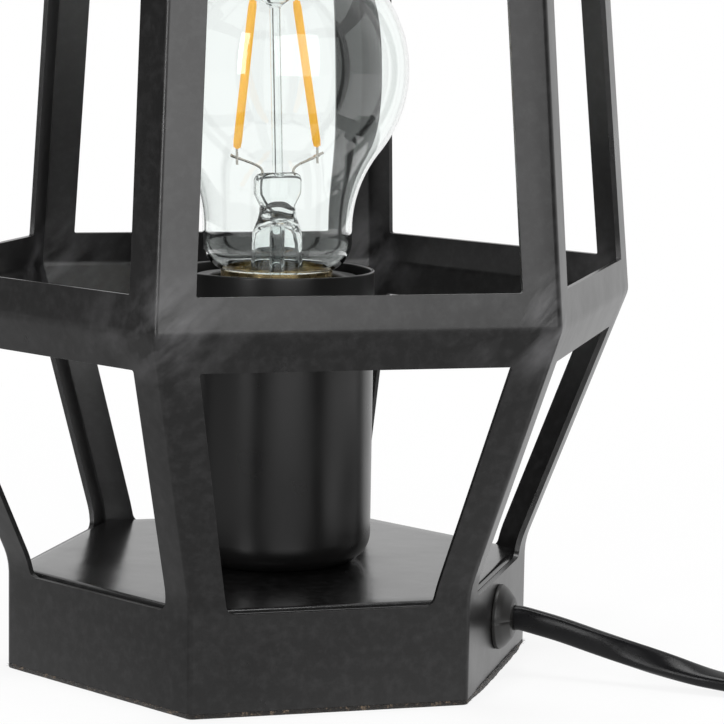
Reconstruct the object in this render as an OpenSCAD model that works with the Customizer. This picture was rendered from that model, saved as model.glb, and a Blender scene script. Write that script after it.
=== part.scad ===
// Six-sided lantern table lamp: a folded sheet cage, open at the top, on a shallow
// six-sided base, with a metal cup round an E27 lampholder, a clear filament bulb,
// and a flat two-core lead with an in-line switch and a flat plug.
// Origin: centre of the underside. +Z is up, the front side faces -Y.

/* [Cage] */
// Corner radius of the base, centre to outer corner
base_corner_r = 62.8; // [58:0.1:66]
// Corner radius at the belt, the widest fold
belt_corner_r = 87.5; // [82:0.5:94]
// Corner radius at the open top
top_corner_r = 72.6; // [66:0.1:80]
// Height of the fold where the sides leave the base
base_fold_h = 25.5; // [24:0.5:30]
// Height of the belt fold
belt_h = 86; // [80:1:94]
// Height of the cage's top edge
cage_h = 240; // [215:1:270]
// Thickness of the steel sheet
sheet_t = 1.2; // [0.8:0.1:1.6]
// Width of sheet left along each corner, on each side of it
leg_w = 8.3; // [7:0.1:11]
// Height of sheet left above and below the belt fold
belt_strip = 8; // [6:0.5:11]
// Height of sheet left along the top edge
top_strip = 8; // [6:0.5:14]
// Radius of the windows' corners
window_r = 0.5; // [0.3:0.1:3]
// Radius of the lower windows' corners on the sill
sill_corner_r = 1.8; // [0.5:0.1:3]
// Inside radius of the belt fold
belt_bend_r = 4; // [2:0.5:6]
// Radius of the hollow fold at the base
base_bend_r = 18; // [4:1:20]
// How far the ground corners are cut back from the sharp corner
corner_cut = 0.6; // [0.3:0.1:0.7]

/* [Base] */
// Height of the sheet skirt's upper edge, the lower windows' sill
sill_h = 23; // [22.5:0.5:25]
// Thickness of the felt under the base
felt_t = 1.2; // [0.8:0.1:2]
// Thickness of the board that closes the base
board_t = 2; // [1:0.2:3]
// Gap between the board and the skirt
board_gap = 0.3; // [0.2:0.1:0.6]
// How far the base plate stands above the sill
plate_proud = 0.6; // [0.3:0.1:1]
// Thickness of the base plate
plate_t = 1.2; // [0.8:0.1:1.6]
// Depth of the rim folded down round the base plate
plate_rim = 3.4; // [2.6:0.2:3.6]
// Radius of the base plate's folded edge
plate_edge_r = 1.2; // [0.6:0.2:2]

/* [Lampholder] */
// Outer radius of the metal cup
cup_r = 22.8; // [21:0.1:26]
// Height of the cup's rim above the table
cup_top_h = 92; // [90.5:0.5:93]
// Wall of the cup
cup_t = 0.8; // [0.6:0.1:1.2]
// Radius of the cup's bottom edge
cup_edge_r = 6.5; // [3:0.5:8]
// Outer radius of the plastic lampholder
holder_r = 19.4; // [18.5:0.1:20]
// Wall of the lampholder's outer sleeve
holder_wall = 2; // [1.4:0.1:2.2]
// Height of the joint between the lampholder's foot and sleeve
holder_joint_h = 44; // [42:0.5:46]
// How far the lampholder's mouth lies below the cup's rim
holder_sink = 1.6; // [1:0.2:3]
// Thickness of the brass screw shell
screw_shell_t = 0.4; // [0.3:0.05:0.6]
// Outer radius of the hollow threaded tube through the base
tube_r = 5; // [4.5:0.1:5.5]
// Bore radius of the hollow threaded tube
tube_bore_r = 4; // [3.4:0.1:4.2]
// Play between threaded pieces
thread_gap = 0.05; // [0.03:0.01:0.1]
// Thickness of the nut under the base plate
nut_t = 3; // [2.5:0.1:3.4]
// Thickness of the washer under the base plate
washer_t = 1; // [0.6:0.1:1.4]

/* [Bulb] */
// Largest radius of the glass
bulb_r = 30; // [27:0.5:32]
// Height of the glass's widest place above the table
bulb_centre_h = 138; // [134:0.5:144]
// Radius of the glass's neck
neck_r = 17.4; // [16.4:0.1:18.2]
// Thickness of the glass
glass_t = 0.7; // [0.5:0.1:1]
// Radius of the screw cap
cap_r = 13; // [12.6:0.1:13.2]
// Height of the cap's upper edge above the table
cap_top_h = 91.8; // [91:0.2:92.4]
// Height of the cap's metal shell
cap_shell_h = 22.3; // [21:0.1:23]
// Full length of the cap down to its centre contact
cap_len = 27.3; // [26.6:0.1:27.6]
// Wall of the cap's metal shell
cap_wall = 0.3; // [0.25:0.05:0.35]
// How far the cap's lower edge is rounded in
cap_edge = 1; // [0.8:0.1:1.2]
// Play between the cap and the screw shell
cap_gap = 0.3; // [0.2:0.05:0.4]
// Radius of a filament
filament_r = 1; // [0.7:0.1:1.3]
// Height of the filaments' lower ends
filament_low_h = 120; // [118:0.5:123]
// Height of the filaments' upper ends
filament_high_h = 154; // [150:0.5:157]
// Angle of the plane that holds the filaments, from the X axis
filament_turn = 16; // [-90:1:90]

/* [Lead] */
// Width of the flat lead
lead_w = 5.7; // [5:0.1:5.9]
// Thickness of the flat lead
lead_t = 3.4; // [3:0.1:3.5]
// Height of the lead's hole in the skirt
lead_h = 13.3; // [12.8:0.1:13.6]
// Radius of the bushing's flange
bushing_r = 7.5; // [7:0.1:8]
// How far the bushing stands out of the skirt
bushing_proud = 4; // [3:0.2:5]
// Middle of the coil, from the lamp's axis
coil_x = 202; // [196:1:210]
// Middle of the coil, to the front or back
coil_y = -36; // [-40:1:-32]
// Radius of the coil's outer turns
coil_r = 36; // [34:0.5:38]
// Turns in the coil, in both layers together
coil_turns = 6.689; // [4.689:1:6.689]
// Sideways step from one turn to the next
coil_step = 4.2; // [4:0.1:4.6]
// Upward step from the lower layer to the upper
coil_lift = 6.2; // [6.1:0.1:6.9]

/* [Switch] */
// Middle of the in-line switch, from the lamp's axis
switch_x = 253; // [250:1:258]
// Middle of the in-line switch, to the front or back
switch_y = -8; // [-10:1:-6]
// Length of the in-line switch
switch_len = 60; // [56:1:62]
// Width of the in-line switch
switch_w = 26; // [24:0.5:30]
// Height of the in-line switch's housing
switch_h = 16; // [15:0.5:19]
// Height of the joint between the switch's two halves, and of the lead through it
switch_joint_h = 7; // [6.6:0.1:7.4]
// Wall of the switch's housing
switch_wall = 1.8; // [1.4:0.1:2.2]
// Angle that the rocker tips through
rocker_tip = 16; // [10:1:18]
// Play round the rocker in its window
rocker_gap = 0.4; // [0.3:0.05:0.7]

/* [Plug] */
// Middle of the plug, from the lamp's axis
plug_x = 144; // [143:0.5:145]
// Where the lead enters the plug's tail
plug_y = -10; // [-11:0.5:-9]
// Width of the plug's body
plug_w = 35.4; // [34:0.2:36]
// Thickness of the plug's body
plug_t = 13.8; // [13:0.2:14]
// Length of the plug's body
plug_len = 34; // [30:1:38]
// Length of the ribbed sleeve behind the plug
relief_len = 18; // [14:1:22]
// Distance between the pins
pin_pitch = 18.6; // [17.5:0.1:19]
// Radius of a pin
pin_r = 2; // [1.9:0.05:2.1]
// Length of the pins out of the body
pin_len = 19; // [18:0.5:20]

/* [Hidden] */

$fn = 48;
cut = 0.5;            // how far a cutting shape runs past what it cuts
rise = cos(30);       // apothem of a hexagon as a share of its corner radius

function unit(v) = v / norm(v);
function dir(a) = [cos(a), sin(a)];
function on_circle(c, r, a) = [c.x + r * cos(a), c.y + r * sin(a)];
function arc(c, r, from, to, steps) =
    [for (i = [0:steps]) on_circle(c, r, from + (to - from) * i / steps)];

// Points that round the corner q of the path p-q-s with radius r.
function fillet(p, q, s, r, steps) =
    let (u = unit(p - q), v = unit(s - q),
         half = acos(max(-1, min(1, u * v))) / 2,
         reach = r / tan(half),
         c = q + unit(u + v) * r / sin(half),
         a = q + u * reach - c, b = q + v * reach - c,
         start = atan2(a.y, a.x), turn = atan2(a.x * b.y - a.y * b.x, a * b))
    [for (i = [0:steps]) on_circle(c, r, start + turn * i / steps)];

// A closed outline with its corners rounded, by one radius or by a list of them.
function rounded(p, r, steps = 4) =
    let (n = len(p))
    [for (i = [0:n - 1])
        for (q = fillet(p[(i + n - 1) % n], p[i], p[(i + 1) % n], is_list(r) ? r[i] : r, steps)) q];

// ---- cage ----

function corner_r_at(z) =
    z < base_fold_h ? base_corner_r :
    z < belt_h
        ? base_corner_r + (belt_corner_r - base_corner_r) * (z - base_fold_h) / (belt_h - base_fold_h)
        : belt_corner_r + (top_corner_r - belt_corner_r) * (z - belt_h) / (cage_h - belt_h);

skirt_apothem = base_corner_r * rise;
inner_apothem = skirt_apothem - sheet_t;

// The side's section at its middle, as distance from the axis and height, moved in by t.
function side_line(t, belt_bend, base_bend) =
    let (a = skirt_apothem, b = belt_corner_r * rise, c = top_corner_r * rise,
         low = unit([belt_h - base_fold_h, a - b]), high = unit([cage_h - belt_h, b - c]),
         foot = [a - t, felt_t],
         knee = [a - t, base_fold_h + t * (1 - low.x) / low.y],
         belt = [b, belt_h] - t * unit(low + high) / (unit(low + high) * low),
         top = [c - t / high.x, cage_h])
    concat([foot],
           fillet(foot, knee, belt, base_bend, 6),
           fillet(knee, belt, top, belt_bend, 6),
           [top]);

function reversed(p) = [for (i = [len(p) - 1:-1:0]) p[i]];

side_section = concat(
    side_line(0, belt_bend_r + sheet_t, base_bend_r),
    reversed(side_line(sheet_t, belt_bend_r, base_bend_r + sheet_t)));

// Turns a section of distance and height into a slab that faces +X.
module slab(section, half_w) {
    rotate([90, 0, 0]) linear_extrude(2 * half_w, center = true) polygon(section);
}

// The sixth of space that belongs to the side facing +X.
module sixth(reach, z0, z1) {
    translate([0, 0, z0]) linear_extrude(z1 - z0)
        polygon([[0, 0], [reach, -reach * tan(30)], [reach, reach * tan(30)]]);
}

// Everything inside the ground corner that lies at the given angle.
module corner_trim(angle) {
    rotate([0, 0, angle]) slab([
        [0, -cut], [base_corner_r - corner_cut, -cut],
        [base_corner_r - corner_cut, base_fold_h],
        [belt_corner_r - corner_cut, belt_h],
        [top_corner_r - corner_cut, cage_h + cut],
        [0, cage_h + cut]], belt_corner_r);
}

// A window between two heights, as an outline across the side and upwards.
function window(z0, z1, low_r) =
    let (low = corner_r_at(z0) / 2 - leg_w, high = corner_r_at(z1) / 2 - leg_w)
    rounded([[-low, z0], [low, z0], [high, z1], [-high, z1]], [low_r, low_r, window_r, window_r]);

module window_cut(outline) {
    rotate([90, 0, 90]) linear_extrude(2 * belt_corner_r) polygon(outline);
}

module side_panel(i) {
    color([0.09, 0.09, 0.1]) rotate([0, 0, -90 + 60 * (i - 1)]) difference() {
        intersection() {
            slab(side_section, belt_corner_r);
            sixth(2 * belt_corner_r, 0, cage_h + cut);
            corner_trim(30);
            corner_trim(-30);
        }
        window_cut(window(sill_h, belt_h - belt_strip, sill_corner_r));
        window_cut(window(belt_h + belt_strip, cage_h - top_strip, window_r));
        if (i == 2) translate([0, 0, lead_h]) rotate([0, 90, 0])
            cylinder(r = bushing_neck_r + thread_gap, h = 2 * belt_corner_r);
    }
}

// ---- base ----

plate_top = sill_h + plate_proud;
plate_low = plate_top - plate_t;

module base_plate() {
    in_r = inner_apothem - plate_edge_r;
    edge = arc([in_r, plate_top - plate_edge_r], plate_edge_r, 0, 90, 4);
    low = plate_top - plate_rim;
    // half of the rim's section, drawn to both sides of the axis
    section = concat([[inner_apothem, low]], edge,
                     [for (i = [len(edge) - 1:-1:0]) [-edge[i].x, edge[i].y]],
                     [[-inner_apothem, low]]);
    color([0.09, 0.09, 0.1]) difference() {
        intersection() {
            rotate([0, 0, -30]) slab(section, base_corner_r);
            rotate([0, 0, 30]) slab(section, base_corner_r);
            rotate([0, 0, 90]) slab(section, base_corner_r);
        }
        hexagon(inner_apothem - plate_t, low - cut, plate_low - low + cut);
        translate([0, 0, plate_low - cut]) cylinder(r = tube_r + thread_gap, h = plate_t + 2 * cut);
    }
}

// A six-sided slab with corners on the X axis.
module hexagon(apothem, z, h) {
    translate([0, 0, z]) cylinder(r = apothem / rise, h = h, $fn = 6);
}

module bottom_board() {
    color([0.36, 0.26, 0.17]) hexagon(inner_apothem - board_gap, felt_t, board_t);
}

module felt_pad() {
    color([0.07, 0.07, 0.07]) hexagon(skirt_apothem, 0, felt_t);
}

// ---- bushing in the skirt ----

exit_angle = -30;                       // the lead leaves the side that faces front right

bushing_neck_r = bushing_r - 2;
bushing_barrel_r = bushing_r - 1.6;
bushing_depth = 9;
slot_gap = 0.15;

module lead_slot(x0, x1) {
    straight = lead_w - lead_t;
    r = lead_t / 2 + slot_gap;
    translate([x0, -r, -straight / 2]) cube([x1 - x0, 2 * r, straight]);
    for (side = [-1, 1]) translate([x0, 0, side * straight / 2]) rotate([0, 90, 0])
        cylinder(r = r, h = x1 - x0);
}

module lead_bushing() {
    tip_r = lead_w / 2 + 0.9;
    dome = concat(
        [[0, bushing_proud], [tip_r, bushing_proud]],
        [for (i = [1:5]) let (a = 90 * i / 5)
            [tip_r + (bushing_r - tip_r) * sin(a), 0.8 + (bushing_proud - 0.8) * cos(a)]],
        [[bushing_r, 0], [bushing_neck_r, 0], [bushing_neck_r, -sheet_t],
         [bushing_barrel_r, -sheet_t], [bushing_barrel_r, -sheet_t - 1.5],
         [bushing_neck_r, -bushing_depth], [0, -bushing_depth]]);
    color([0.05, 0.05, 0.055]) rotate([0, 0, exit_angle]) translate([skirt_apothem, 0, lead_h])
        difference() {
            rotate([0, 90, 0]) rotate_extrude() polygon(dome);
            lead_slot(-bushing_depth - cut, bushing_proud + cut);
        }
}

// ---- cup and lampholder ----

cup_floor = plate_top + cup_t;
holder_top = cup_top_h - holder_sink;
insert_base_top = cap_top_h - cap_len - 4.2;
screw_shell_in_r = cap_r + cap_gap;
screw_shell_r = screw_shell_in_r + screw_shell_t;

module holder_cup() {
    outer = arc([cup_r - cup_edge_r, plate_top + cup_edge_r], cup_edge_r, -90, 0, 8);
    inner = arc([cup_r - cup_edge_r, plate_top + cup_edge_r], cup_edge_r - cup_t, 0, -90, 8);
    color([0.08, 0.08, 0.09]) rotate_extrude() polygon(concat(
        [[tube_r + thread_gap, plate_top]], outer,
        [[cup_r, cup_top_h - cup_t / 3], [cup_r - cup_t / 3, cup_top_h],
         [cup_r - cup_t * 2 / 3, cup_top_h], [cup_r - cup_t, cup_top_h - cup_t / 3]],
        inner, [[tube_r + thread_gap, cup_floor]]));
}

foot_boss_h = 7;

module holder_foot() {
    edge = 7;
    color([0.06, 0.06, 0.065]) rotate_extrude() polygon(concat(
        [[tube_r + thread_gap, cup_floor]],
        arc([holder_r - edge, cup_floor + edge], edge, -90, 0, 6),
        [[holder_r, holder_joint_h], [holder_r - holder_wall, holder_joint_h]],
        arc([holder_r - edge, cup_floor + edge], edge - holder_wall, 0, -90, 6),
        [[tube_r + 2.5, cup_floor + holder_wall], [tube_r + 2.5, cup_floor + foot_boss_h],
         [tube_r + thread_gap, cup_floor + foot_boss_h]]));
}

holder_lip = 2;
flange_r = holder_r - holder_wall / 2;
flange_t = 1.2;
flange_gap = 0.1;

module holder_sleeve() {
    in_r = holder_r - holder_wall;
    lip_r = screw_shell_r + 1.7;
    rebate_top = holder_joint_h + flange_t + flange_gap;
    color([0.06, 0.06, 0.065]) rotate_extrude() polygon([
        [flange_r + flange_gap, holder_joint_h], [holder_r, holder_joint_h],
        [holder_r, holder_top - 0.6], [holder_r - 0.6, holder_top], [lip_r, holder_top],
        [lip_r, holder_top - holder_lip], [in_r, holder_top - holder_lip],
        [in_r, rebate_top], [flange_r + flange_gap, rebate_top]]);
}

insert_r = holder_r - holder_wall - flange_gap;
insert_sleeve_r = screw_shell_r + 1.5;
insert_top = holder_top - holder_lip - flange_gap;
contact_hole_r = 9;

module holder_insert() {
    color([0.85, 0.83, 0.78]) difference() {
        // a block clamped by its flange between foot and sleeve, with a tube for the screw shell
        rotate_extrude() polygon([
            [0, holder_joint_h], [flange_r, holder_joint_h],
            [flange_r, holder_joint_h + flange_t], [insert_r, holder_joint_h + flange_t],
            [insert_r, insert_base_top], [insert_sleeve_r, insert_base_top],
            [insert_sleeve_r, insert_top], [screw_shell_r + thread_gap, insert_top],
            [screw_shell_r + thread_gap, insert_base_top], [0, insert_base_top]]);
        // moulded pockets, open below
        for (k = [0:3]) rotate([0, 0, 45 + 90 * k])
            translate([8.5, -3, holder_joint_h - cut])
                cube([5, 6, insert_base_top - holder_joint_h - 2 + cut]);
    }
}

module screw_shell() {
    top = holder_top - 4;
    color([0.82, 0.68, 0.32]) rotate_extrude() polygon([
        [contact_hole_r, insert_base_top], [screw_shell_r, insert_base_top], [screw_shell_r, top],
        [screw_shell_in_r, top], [screw_shell_in_r, insert_base_top + screw_shell_t],
        [contact_hole_r, insert_base_top + screw_shell_t]]);
}

contact_t = 0.4;

module centre_contact() {
    seat = insert_base_top;
    tongue_top = cap_top_h - cap_len - cap_gap;
    color([0.82, 0.68, 0.32]) rotate([90, 0, 0]) linear_extrude(5, center = true) polygon([
        [-8, seat], [-2, seat], [3, tongue_top - contact_t], [5, tongue_top - contact_t - 0.6],
        [5, tongue_top - 0.6], [3, tongue_top], [1.6, tongue_top],
        [-2.4, seat + contact_t], [-8, seat + contact_t]]);
}

terminal_x = 8;
terminal_h = 6;

module terminal_blocks() {
    color([0.82, 0.68, 0.32]) for (side = [-1, 1])
        translate([side * terminal_x, 0, holder_joint_h - terminal_h]) difference() {
            translate([-2.5, -3, 0]) cube([5, 6, terminal_h]);
            translate([0, 0, -cut]) cylinder(r = 1.15, h = 4.5 + cut);
            translate([0, -3 - cut, 3]) rotate([-90, 0, 0]) cylinder(r = 1.3, h = 2 + cut);
        }
}

module terminal_screws() {
    color([0.75, 0.75, 0.76]) for (side = [-1, 1])
        translate([side * terminal_x, -1.1, holder_joint_h - terminal_h + 3]) rotate([90, 0, 0])
            difference() {
                union() {
                    cylinder(r = 1.25, h = 1.9);
                    translate([0, 0, 1.9]) cylinder(r = 2.2, h = 1.4);
                }
                translate([-3, -0.25, 2.7]) cube([6, 0.5, 1]);
            }
}

tube_low = plate_low - washer_t - nut_t - 1.5;
tube_high = cup_floor + foot_boss_h - 0.5;

module threaded_tube() {
    color([0.72, 0.72, 0.74]) translate([0, 0, tube_low]) difference() {
        cylinder(r = tube_r, h = tube_high - tube_low);
        translate([0, 0, -cut]) cylinder(r = tube_bore_r, h = tube_high - tube_low + 2 * cut);
    }
}

module tube_nut() {
    color([0.72, 0.72, 0.74]) translate([0, 0, plate_low - washer_t - nut_t]) difference() {
        cylinder(r = (tube_r + 2) / rise, h = nut_t, $fn = 6);
        translate([0, 0, -cut]) cylinder(r = tube_r + thread_gap, h = nut_t + 2 * cut);
    }
}

module tube_washer() {
    color([0.72, 0.72, 0.74]) translate([0, 0, plate_low - washer_t]) difference() {
        cylinder(r = tube_r + 4.5, h = washer_t);
        translate([0, 0, -cut]) cylinder(r = tube_r + thread_gap, h = washer_t + 2 * cut);
    }
}

// ---- swept tubes ----

// Outline of the flat lead, with round edges: half width a, half thickness b.
function lead_outline(a, b) = [
    [a, -0.4 * b], [a, 0.4 * b], [a - 0.6 * b, b], [0.6 * b - a, b],
    [-a, 0.4 * b], [-a, -0.4 * b], [0.6 * b - a, -b], [a - 0.6 * b, -b]];
// The same outline with six sides, for the coil's turns.
function coil_outline(a, b) = [[a, 0], [a - b, b], [b - a, b], [-a, 0], [b - a, -b], [a - b, -b]];
function round_outline(r) = [for (k = [0:7]) r * dir(45 * k + 22.5)];

function heading(p, i) = unit(p[min(i + 1, len(p) - 1)] - p[max(i - 1, 0)]);
// One ring of a tube: the outline's width lies square to the axis given, and rolls up from there.
function ring_at(p, i, roll, outline, axis) =
    let (t = heading(p, i), side = unit(cross(axis, t)), up = cross(t, side),
         w = cos(roll) * side + sin(roll) * up, h = cos(roll) * up - sin(roll) * side)
    [for (q = outline) p[i] + q.x * w + q.y * h];

module swept(p, rolls, outline, axis = [0, 0, 1]) {
    n = len(p);
    m = len(outline);
    rings = [for (i = [0:n - 1]) each ring_at(p, i, rolls[i], outline, axis)];
    walls = [for (i = [0:n - 2]) for (k = [0:m - 1])
        let (a = i * m + k, b = i * m + (k + 1) % m) each [[a, b, b + m], [a, b + m, a + m]]];
    ends = [for (k = [1:m - 2]) each
        [[0, k + 1, k], [(n - 1) * m, (n - 1) * m + k, (n - 1) * m + k + 1]]];
    polyhedron(rings, [for (f = concat(walls, ends)) [f[0], f[2], f[1]]]);
}

function steady(n, value) = [for (i = [0:n - 1]) value];
// A roll that turns evenly from one value to another between two points of a route.
function rolling(n, from, to, first, last) =
    [for (i = [0:n - 1]) let (s = max(0, min(1, (i - first) / (last - first))))
        from + (to - from) * s * s * (3 - 2 * s)];

lead_black = [0.04, 0.04, 0.045];
lead_section = lead_outline(lead_w / 2, lead_t / 2);

// ---- lead inside the base ----

function from_exit(d, z) = let (q = (skirt_apothem + d) * dir(exit_angle)) [q.x, q.y, z];
lead_exit = from_exit(bushing_proud, lead_h);
sheath_end = [15, -8.7, 9.2];
inner_route = [lead_exit, from_exit(-4, lead_h), from_exit(-12, lead_h), from_exit(-19, 12.8),
               from_exit(-27, 11), [20, -11.5, 9.6], sheath_end];

module inner_lead() {
    color(lead_black) swept(inner_route, steady(len(inner_route), 90), lead_section);
}

core_r = 1.1;
// One core: from the end of the sheath to the tube, up through it and out to its terminal.
function core_route(side) = let (y = side * (core_r + 0.25)) [
    sheath_end + [-0.2 - 0.1 * side, 0.1 - 0.1 * side, side * 1.35],
    [10, -5.8, 8.6 + side * 1.35], [5, -2.9 + y * 0.4, 8.2 + side * 1.3],
    [1.5, -0.8 + y * 0.8, 10 + side * 0.9], [0.2, y, 14], [0, y, 20], [0, y, 26],
    [0, y, cup_floor + foot_boss_h], [side * 2.2, y, 34.5], [side * 5.6, y * 0.4, 35.6],
    [side * terminal_x, 0, 37.4], [side * terminal_x, 0, holder_joint_h - 2]];

module core_brown() {
    p = core_route(1);
    color([0.3, 0.14, 0.06]) swept(p, steady(len(p), 0), round_outline(core_r), [0, 1, 0]);
}

module core_blue() {
    p = core_route(-1);
    color([0.05, 0.2, 0.55]) swept(p, steady(len(p), 0), round_outline(core_r), [0, 1, 0]);
}

// ---- bulb ----

shoulder_r = 7;
seat_gap = 0.15;                        // the glass's shoulder stays this far over the cap's edge
shoulder_h = cap_top_h + seat_gap
    + sqrt(max(0, pow(shoulder_r, 2) - pow(cap_r - neck_r + shoulder_r, 2)));
flank_h = shoulder_h + 3;
// Radius of the hollow flank that touches both the neck and the globe.
flank_r = (pow(neck_r, 2) + pow(bulb_centre_h - flank_h, 2) - pow(bulb_r, 2))
    / (2 * (bulb_r - neck_r));
flank_angle = atan2(bulb_centre_h - flank_h, -(neck_r + flank_r));

skirt_r = cap_r - cap_wall - 0.1;       // the end of the neck, cemented into the cap

// Outline of the glass from cap to crown, moved in by t.
function glass_line(t) = let (seat_a = -acos(min(1, (cap_r - neck_r + shoulder_r) / shoulder_r))) concat(
    [[skirt_r - t, cap_top_h - 3.8], [skirt_r - t, cap_top_h + 0.3 * seat_gap]],
    arc([neck_r - shoulder_r, shoulder_h], shoulder_r - t, seat_a, 0, 5),
    arc([neck_r + flank_r, flank_h], flank_r + t, 180, flank_angle, 6),
    arc([0, bulb_centre_h], bulb_r - t, flank_angle - 180 + 7, 90, 16));

module bulb_glass() {
    color([0.85, 0.92, 0.95, 0.3]) rotate_extrude()
        polygon(concat(glass_line(0), reversed(glass_line(glass_t))));
}

stem_flare_r = 5.9;
press_h = filament_low_h - 5.4;

module bulb_stem() {
    wall = 0.6;
    low = cap_top_h - 3.6;
    flare_top = low + 0.458 * (press_h - low);
    pinch = press_h - flare_top;        // height over which the flare is pinched flat
    press_side = [for (q = [[4.5, 0.182], [4.7, 0.35], [6.1, 0.63], [6, 0.888], [4.8, 1]])
        [q.x, flare_top + q.y * pinch]];
    color([0.85, 0.92, 0.95, 0.4]) {
        rotate_extrude() polygon([
            [cap_r - 1.4, low], [stem_flare_r + 1, cap_top_h - 1], [stem_flare_r, cap_top_h + 1],
            [stem_flare_r, flare_top], [4.4, flare_top + 0.28 * pinch],
            [4.4 - wall, flare_top + 0.28 * pinch],
            [stem_flare_r - wall, flare_top - 0.2], [stem_flare_r - wall, cap_top_h + 1],
            [stem_flare_r + 1 - wall, cap_top_h - 1], [cap_r - 1.4 - wall, low]]);
        // pinched press that holds the wires, wider at its shoulders
        rotate([0, 0, filament_turn]) rotate([90, 0, 0]) linear_extrude(3.6, center = true)
            polygon(concat(press_side, [for (q = reversed(press_side)) [-q.x, q.y]]));
        // exhaust tube in the flare, and the rod that carries the filaments
        translate([0, 0, low]) difference() {
            cylinder(r = 1.75, h = flare_top + 0.21 * pinch - low);
            translate([0, 0, -cut]) cylinder(r = 1.15, h = flare_top + 0.07 * pinch - low);
        }
        translate([0, 0, press_h - 1]) cylinder(r = 1.25, h = filament_high_h - press_h + 1);
        translate([0, 0, filament_high_h - 1]) cylinder(r1 = 1.6, r2 = 3.4, h = 1.2);
        translate([0, 0, filament_high_h + 0.2]) cylinder(r = 3.4, h = 0.8);
    }
}

// A round bar between two points.
module bar(a, b, r) {
    d = b - a;
    translate(a) rotate([0, acos(d.z / norm(d)), atan2(d.y, d.x)]) cylinder(r = r, h = norm(d), $fn = 20);
}

filament_low_x = 10.7;
filament_high_x = 5.7;
filament_low = [filament_low_x, 0, filament_low_h];
filament_high = [filament_high_x, 0, filament_high_h];
function mirrored(v, side) = [side * v.x, v.y, v.z];

module bulb_filaments() {
    color([1, 0.72, 0.25]) rotate([0, 0, filament_turn]) for (side = [-1, 1])
        bar(mirrored(filament_low, side), mirrored(filament_high, side), filament_r);
}

wire_r = 0.3;

// Lead wire out of the press, past the tab that holds a filament's lower end.
low_wire = [[4.2, 0, press_h - 1], [4.2, 0, press_h + 0.6], [5.4, 0, press_h + 1.7],
            [filament_low_x - 2.2, 0, press_h + 2.9], [filament_low_x + 1.6, 0, press_h + 4.1]];
tab_len = 3.4;
// Wire from a filament's upper end to the button on the rod.
high_wire = [filament_high, filament_high + [0, 0, 1], [4.2, 0, filament_high_h + 1.4],
             [3, 0, filament_high_h + 0.6]];

module bulb_wires() {
    color([0.75, 0.75, 0.76]) rotate([0, 0, filament_turn]) for (side = [-1, 1]) {
        for (p = [low_wire, high_wire])
            swept([for (q = p) mirrored(q, side)], steady(len(p), 0), round_outline(wire_r), [0, 1, 0]);
        bar(mirrored(filament_low - [0, 0, tab_len], side), mirrored(filament_low, side), wire_r);
    }
}

cap_low = cap_top_h - cap_shell_h;
cap_tip = cap_top_h - cap_len;

module bulb_cap() {
    color([0.86, 0.72, 0.36]) rotate_extrude() polygon([
        [cap_r - cap_wall, cap_top_h], [cap_r, cap_top_h], [cap_r, cap_low + cap_edge],
        [cap_r - cap_edge, cap_low], [cap_r - cap_edge - cap_wall, cap_low],
        [cap_r - cap_wall, cap_low + cap_edge + cap_wall]]);
}

insulator_low = cap_tip + 1.5;
insulator_r = cap_r - cap_edge - cap_wall - 0.05;

module bulb_insulator() {
    color([0.05, 0.05, 0.06]) rotate_extrude() polygon([
        [0, insulator_low], [4.6, insulator_low], [6, insulator_low + 0.5], [insulator_r, cap_low],
        [insulator_r, cap_low + 0.6], [0, cap_low + 0.6]]);
}

module bulb_contact() {
    color([0.7, 0.7, 0.72]) rotate_extrude() polygon([
        [0, cap_tip], [2.6, cap_tip], [4, cap_tip + 0.6], [4, insulator_low], [0, insulator_low]]);
}

// ---- lead on the table ----

lead_low = 0.1;                         // the flat lead's clearance over the table
coil_low = 0.8;                         // the coil lies on its tie
flat_z = lead_t / 2 + lead_low;
layer_1 = coil_low + lead_w / 2;
layer_2 = layer_1 + coil_lift;
coil_start_angle = 152;
coil_end_angle = coil_start_angle + 360 * coil_turns;
coil_tail = 6;                          // straight length at each end of the coil
coil_ring_count = 24;                   // rings in one turn
coil_centre = [coil_x, coil_y];

// Height along the coil: it climbs a layer in the half turn round its middle.
function coil_height(u) =
    let (s = max(0, min(1, 2 * (u - coil_turns / 2) + 0.5)))
    layer_1 + coil_lift * s * s * (3 - 2 * s);
// The coil's middle line after u turns: in along the lower layer, out along the upper.
function coil_at(u) =
    let (r = coil_r - coil_step * (coil_turns / 2 - abs(u - coil_turns / 2)),
         q = on_circle(coil_centre, r, coil_start_angle + 360 * u))
    [q.x, q.y, coil_height(u)];

coil_first = let (q = coil_tail * dir(coil_start_angle + 90)) coil_at(0) - [q.x, q.y, 0];
coil_last = let (q = coil_tail * dir(coil_end_angle + 90)) coil_at(coil_turns) + [q.x, q.y, 0];
coil_rings = round(coil_ring_count * coil_turns);
coil_route = concat([coil_first],
    [for (i = [0:coil_rings]) coil_at(coil_turns * i / coil_rings)], [coil_last]);

// Smallest gap between turns: the flat lead stands upright, with round upper and lower edges.
function upright_gap(p, q) =
    let (d = q - p, apart = norm([d.x, d.y]), over = max(0, abs(d.z) - (lead_w - lead_t)))
    norm([apart, over]) - lead_t;
coil_gaps = [for (i = [0:coil_rings]) for (j = [i + coil_ring_count / 2:coil_rings])
    upright_gap(coil_at(coil_turns * i / coil_rings), coil_at(coil_turns * j / coil_rings))];
echo(coil_least_gap_mm = min(coil_gaps));

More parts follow.
